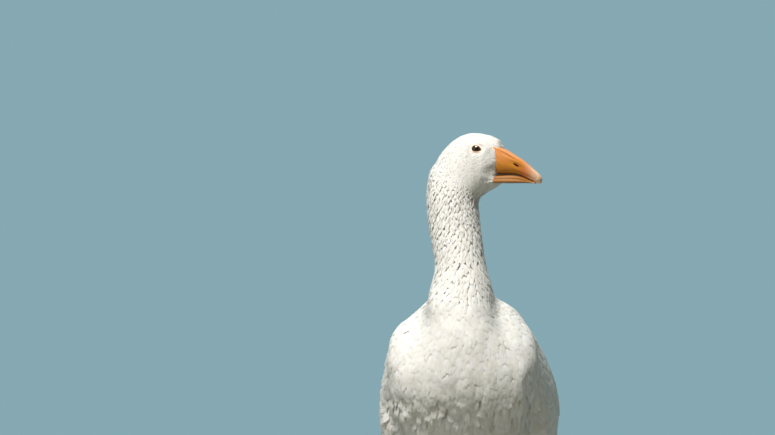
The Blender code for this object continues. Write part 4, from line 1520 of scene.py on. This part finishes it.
# Toes of the left foot: angle out in degrees, where the claw starts from the foot's middle, its reach, half
# width and half height, and height at its root. A claw's rings stand at these shares of its reach.
clawSet = {
    "out": 4, "rings": (0, 0.12, 0.3, 0.5, 0.68, 0.83, 0.94, 1.0), "sides": 20, "lowest": 0.15,
    "toes": (
        (-27, 61, 17, 3.5, 3.2, 4.6),
        (-1, 83, 17, 3.8, 3.4, 4.8),
        (24, 75, 17, 3.5, 3.2, 4.6),
        (160, 26, 9, 2.6, 2.4, 5.0),
    ),
}


def clawRings(side, angle, start, reach, half, high, level):
    rings = []
    for share in clawSet["rings"]:
        thin = math.sqrt(max(0.02, 1 - share**1.8))
        centreUp = level + 0.8 * math.sin(math.pi * share) - (level - 1.0) * share**2
        ring = []
        for a in np.linspace(0, 2 * math.pi, clawSet["sides"], endpoint=False):
            ahead, out = turnedBy(start + reach * share, half * thin * math.sin(a), clawSet["out"] + angle)
            up = centreUp + high * thin * math.cos(a) * (1 if math.cos(a) > 0 else 0.6)
            across = side * (legLook["footSide"] + out)
            ring.append(place(legLook["footAhead"] + ahead, across, max(clawSet["lowest"], up)))
        rings.append(ring)
    return rings


def makeClaws():
    horn = plainMaterial("clawHorn", (0.52, 0.34, 0.22), 0.35, (0.36, 0.20, 0.12), 220)
    for side, name in bothSides:
        claws = joined([loftRings("claw", clawRings(side, *toe), horn) for toe in clawSet["toes"]])
        claws.name = "claws" + name
        pick(claws)
        bpy.ops.object.shade_smooth()
        finished(claws, "claw")


# Lights as name, place, size, power and colour; all aim at the upper breast.
studioSet = {
    "floor": (0.31, 0.31, 0.275), "floorRadius": 7, "target": (0, -0.15, 0.5),
    "ahead": (0.055, 0.063, 0.042), "behind": (0.236, 0.393, 0.447),
    "lights": (
        ("keyLight", (-0.75, -2.25, 3.95), 1.1, 302, (1, 0.98, 0.955)),
        ("fillLight", (-2.4, -2.6, 1.7), 2.0, 9, (0.97, 0.98, 1)),
        ("topLight", (0.2, 0.3, 3.2), 1.8, 16, (1, 0.99, 0.97)),
    ),
}


def makeStage():
    bpy.ops.mesh.primitive_circle_add(
        vertices=96, radius=studioSet["floorRadius"], fill_type="NGON", location=(0, 0, 0),
    )
    floor = bpy.context.active_object
    floor.name = "floor"
    look = Finish("paleFloor")
    look.give({"Base Color": studioSet["floor"], "Roughness": 0.8})
    floor.data.materials.append(look.material)
    # a plain backdrop all round, darker and warmer on the camera's side
    world = bpy.data.worlds.new("studio")
    world.use_nodes = True
    sky = Painter(world.node_tree)
    _, depth, _ = sky.add("SeparateXYZ", {"Vector": sky.add("TexCoord", {})["Generated"]})
    colour = sky.mix(sky.share(depth, -0.4, 0.6), studioSet["ahead"], studioSet["behind"])
    sky.feed(sky.nodes["Background"].inputs["Color"], colour)
    bpy.context.scene.world = world
    bpy.context.scene.view_settings.view_transform = "Standard"
    for name, spot, size, energy, colour in studioSet["lights"]:
        lamp = linked(name, bpy.data.lights.new(name, "AREA"))
        lamp.data.shape = "DISK"
        lamp.data.size = size
        lamp.data.energy = energy
        lamp.data.color = colour
        lamp.location = spot
        lamp.rotation_mode = "QUATERNION"
        lamp.rotation_quaternion = (Vector(studioSet["target"]) - Vector(spot)).to_track_quat("-Z", "Y")


makeCamera()
deselectAll()
makeStage()
report("stage made")
billTrees = makeBill()
report("bill made")
skin = makeCoatShape()
shapeOutline(skin)
creaseBody(skin)
fitToBill(skin, billTrees)
outside = setEyes(skin)
makeEyes()
makeLids(outside)
report("coat's shape, eyes and lids made")
surface = surfaceOf(skin)
addFields(surface)
surface.wholeMap = unwrapped(surface, np.ones(len(surface.points)))
report("lie and sizes of the coat worked out")
plumage = makeFeatherMaterial("plumage")
makeCoat(surface, plumage)
makePrimaries(surface, plumage)
makeWingRows(surface, plumage)
makeTailFan(surface, plumage)
makeTailCoverts(surface, plumage)
report("feathers made")
makeLegs()
makeClaws()
report("legs and claws made")
skin.name = "skin"  # it lies under the coat, by the coat's depth
setPoints(skin, lifted(surface.points, surface.normals, -surface.depth))
skin.data.materials.append(plumage)
finished(skin, "plumage", *fleshNodes)
report("skin made")
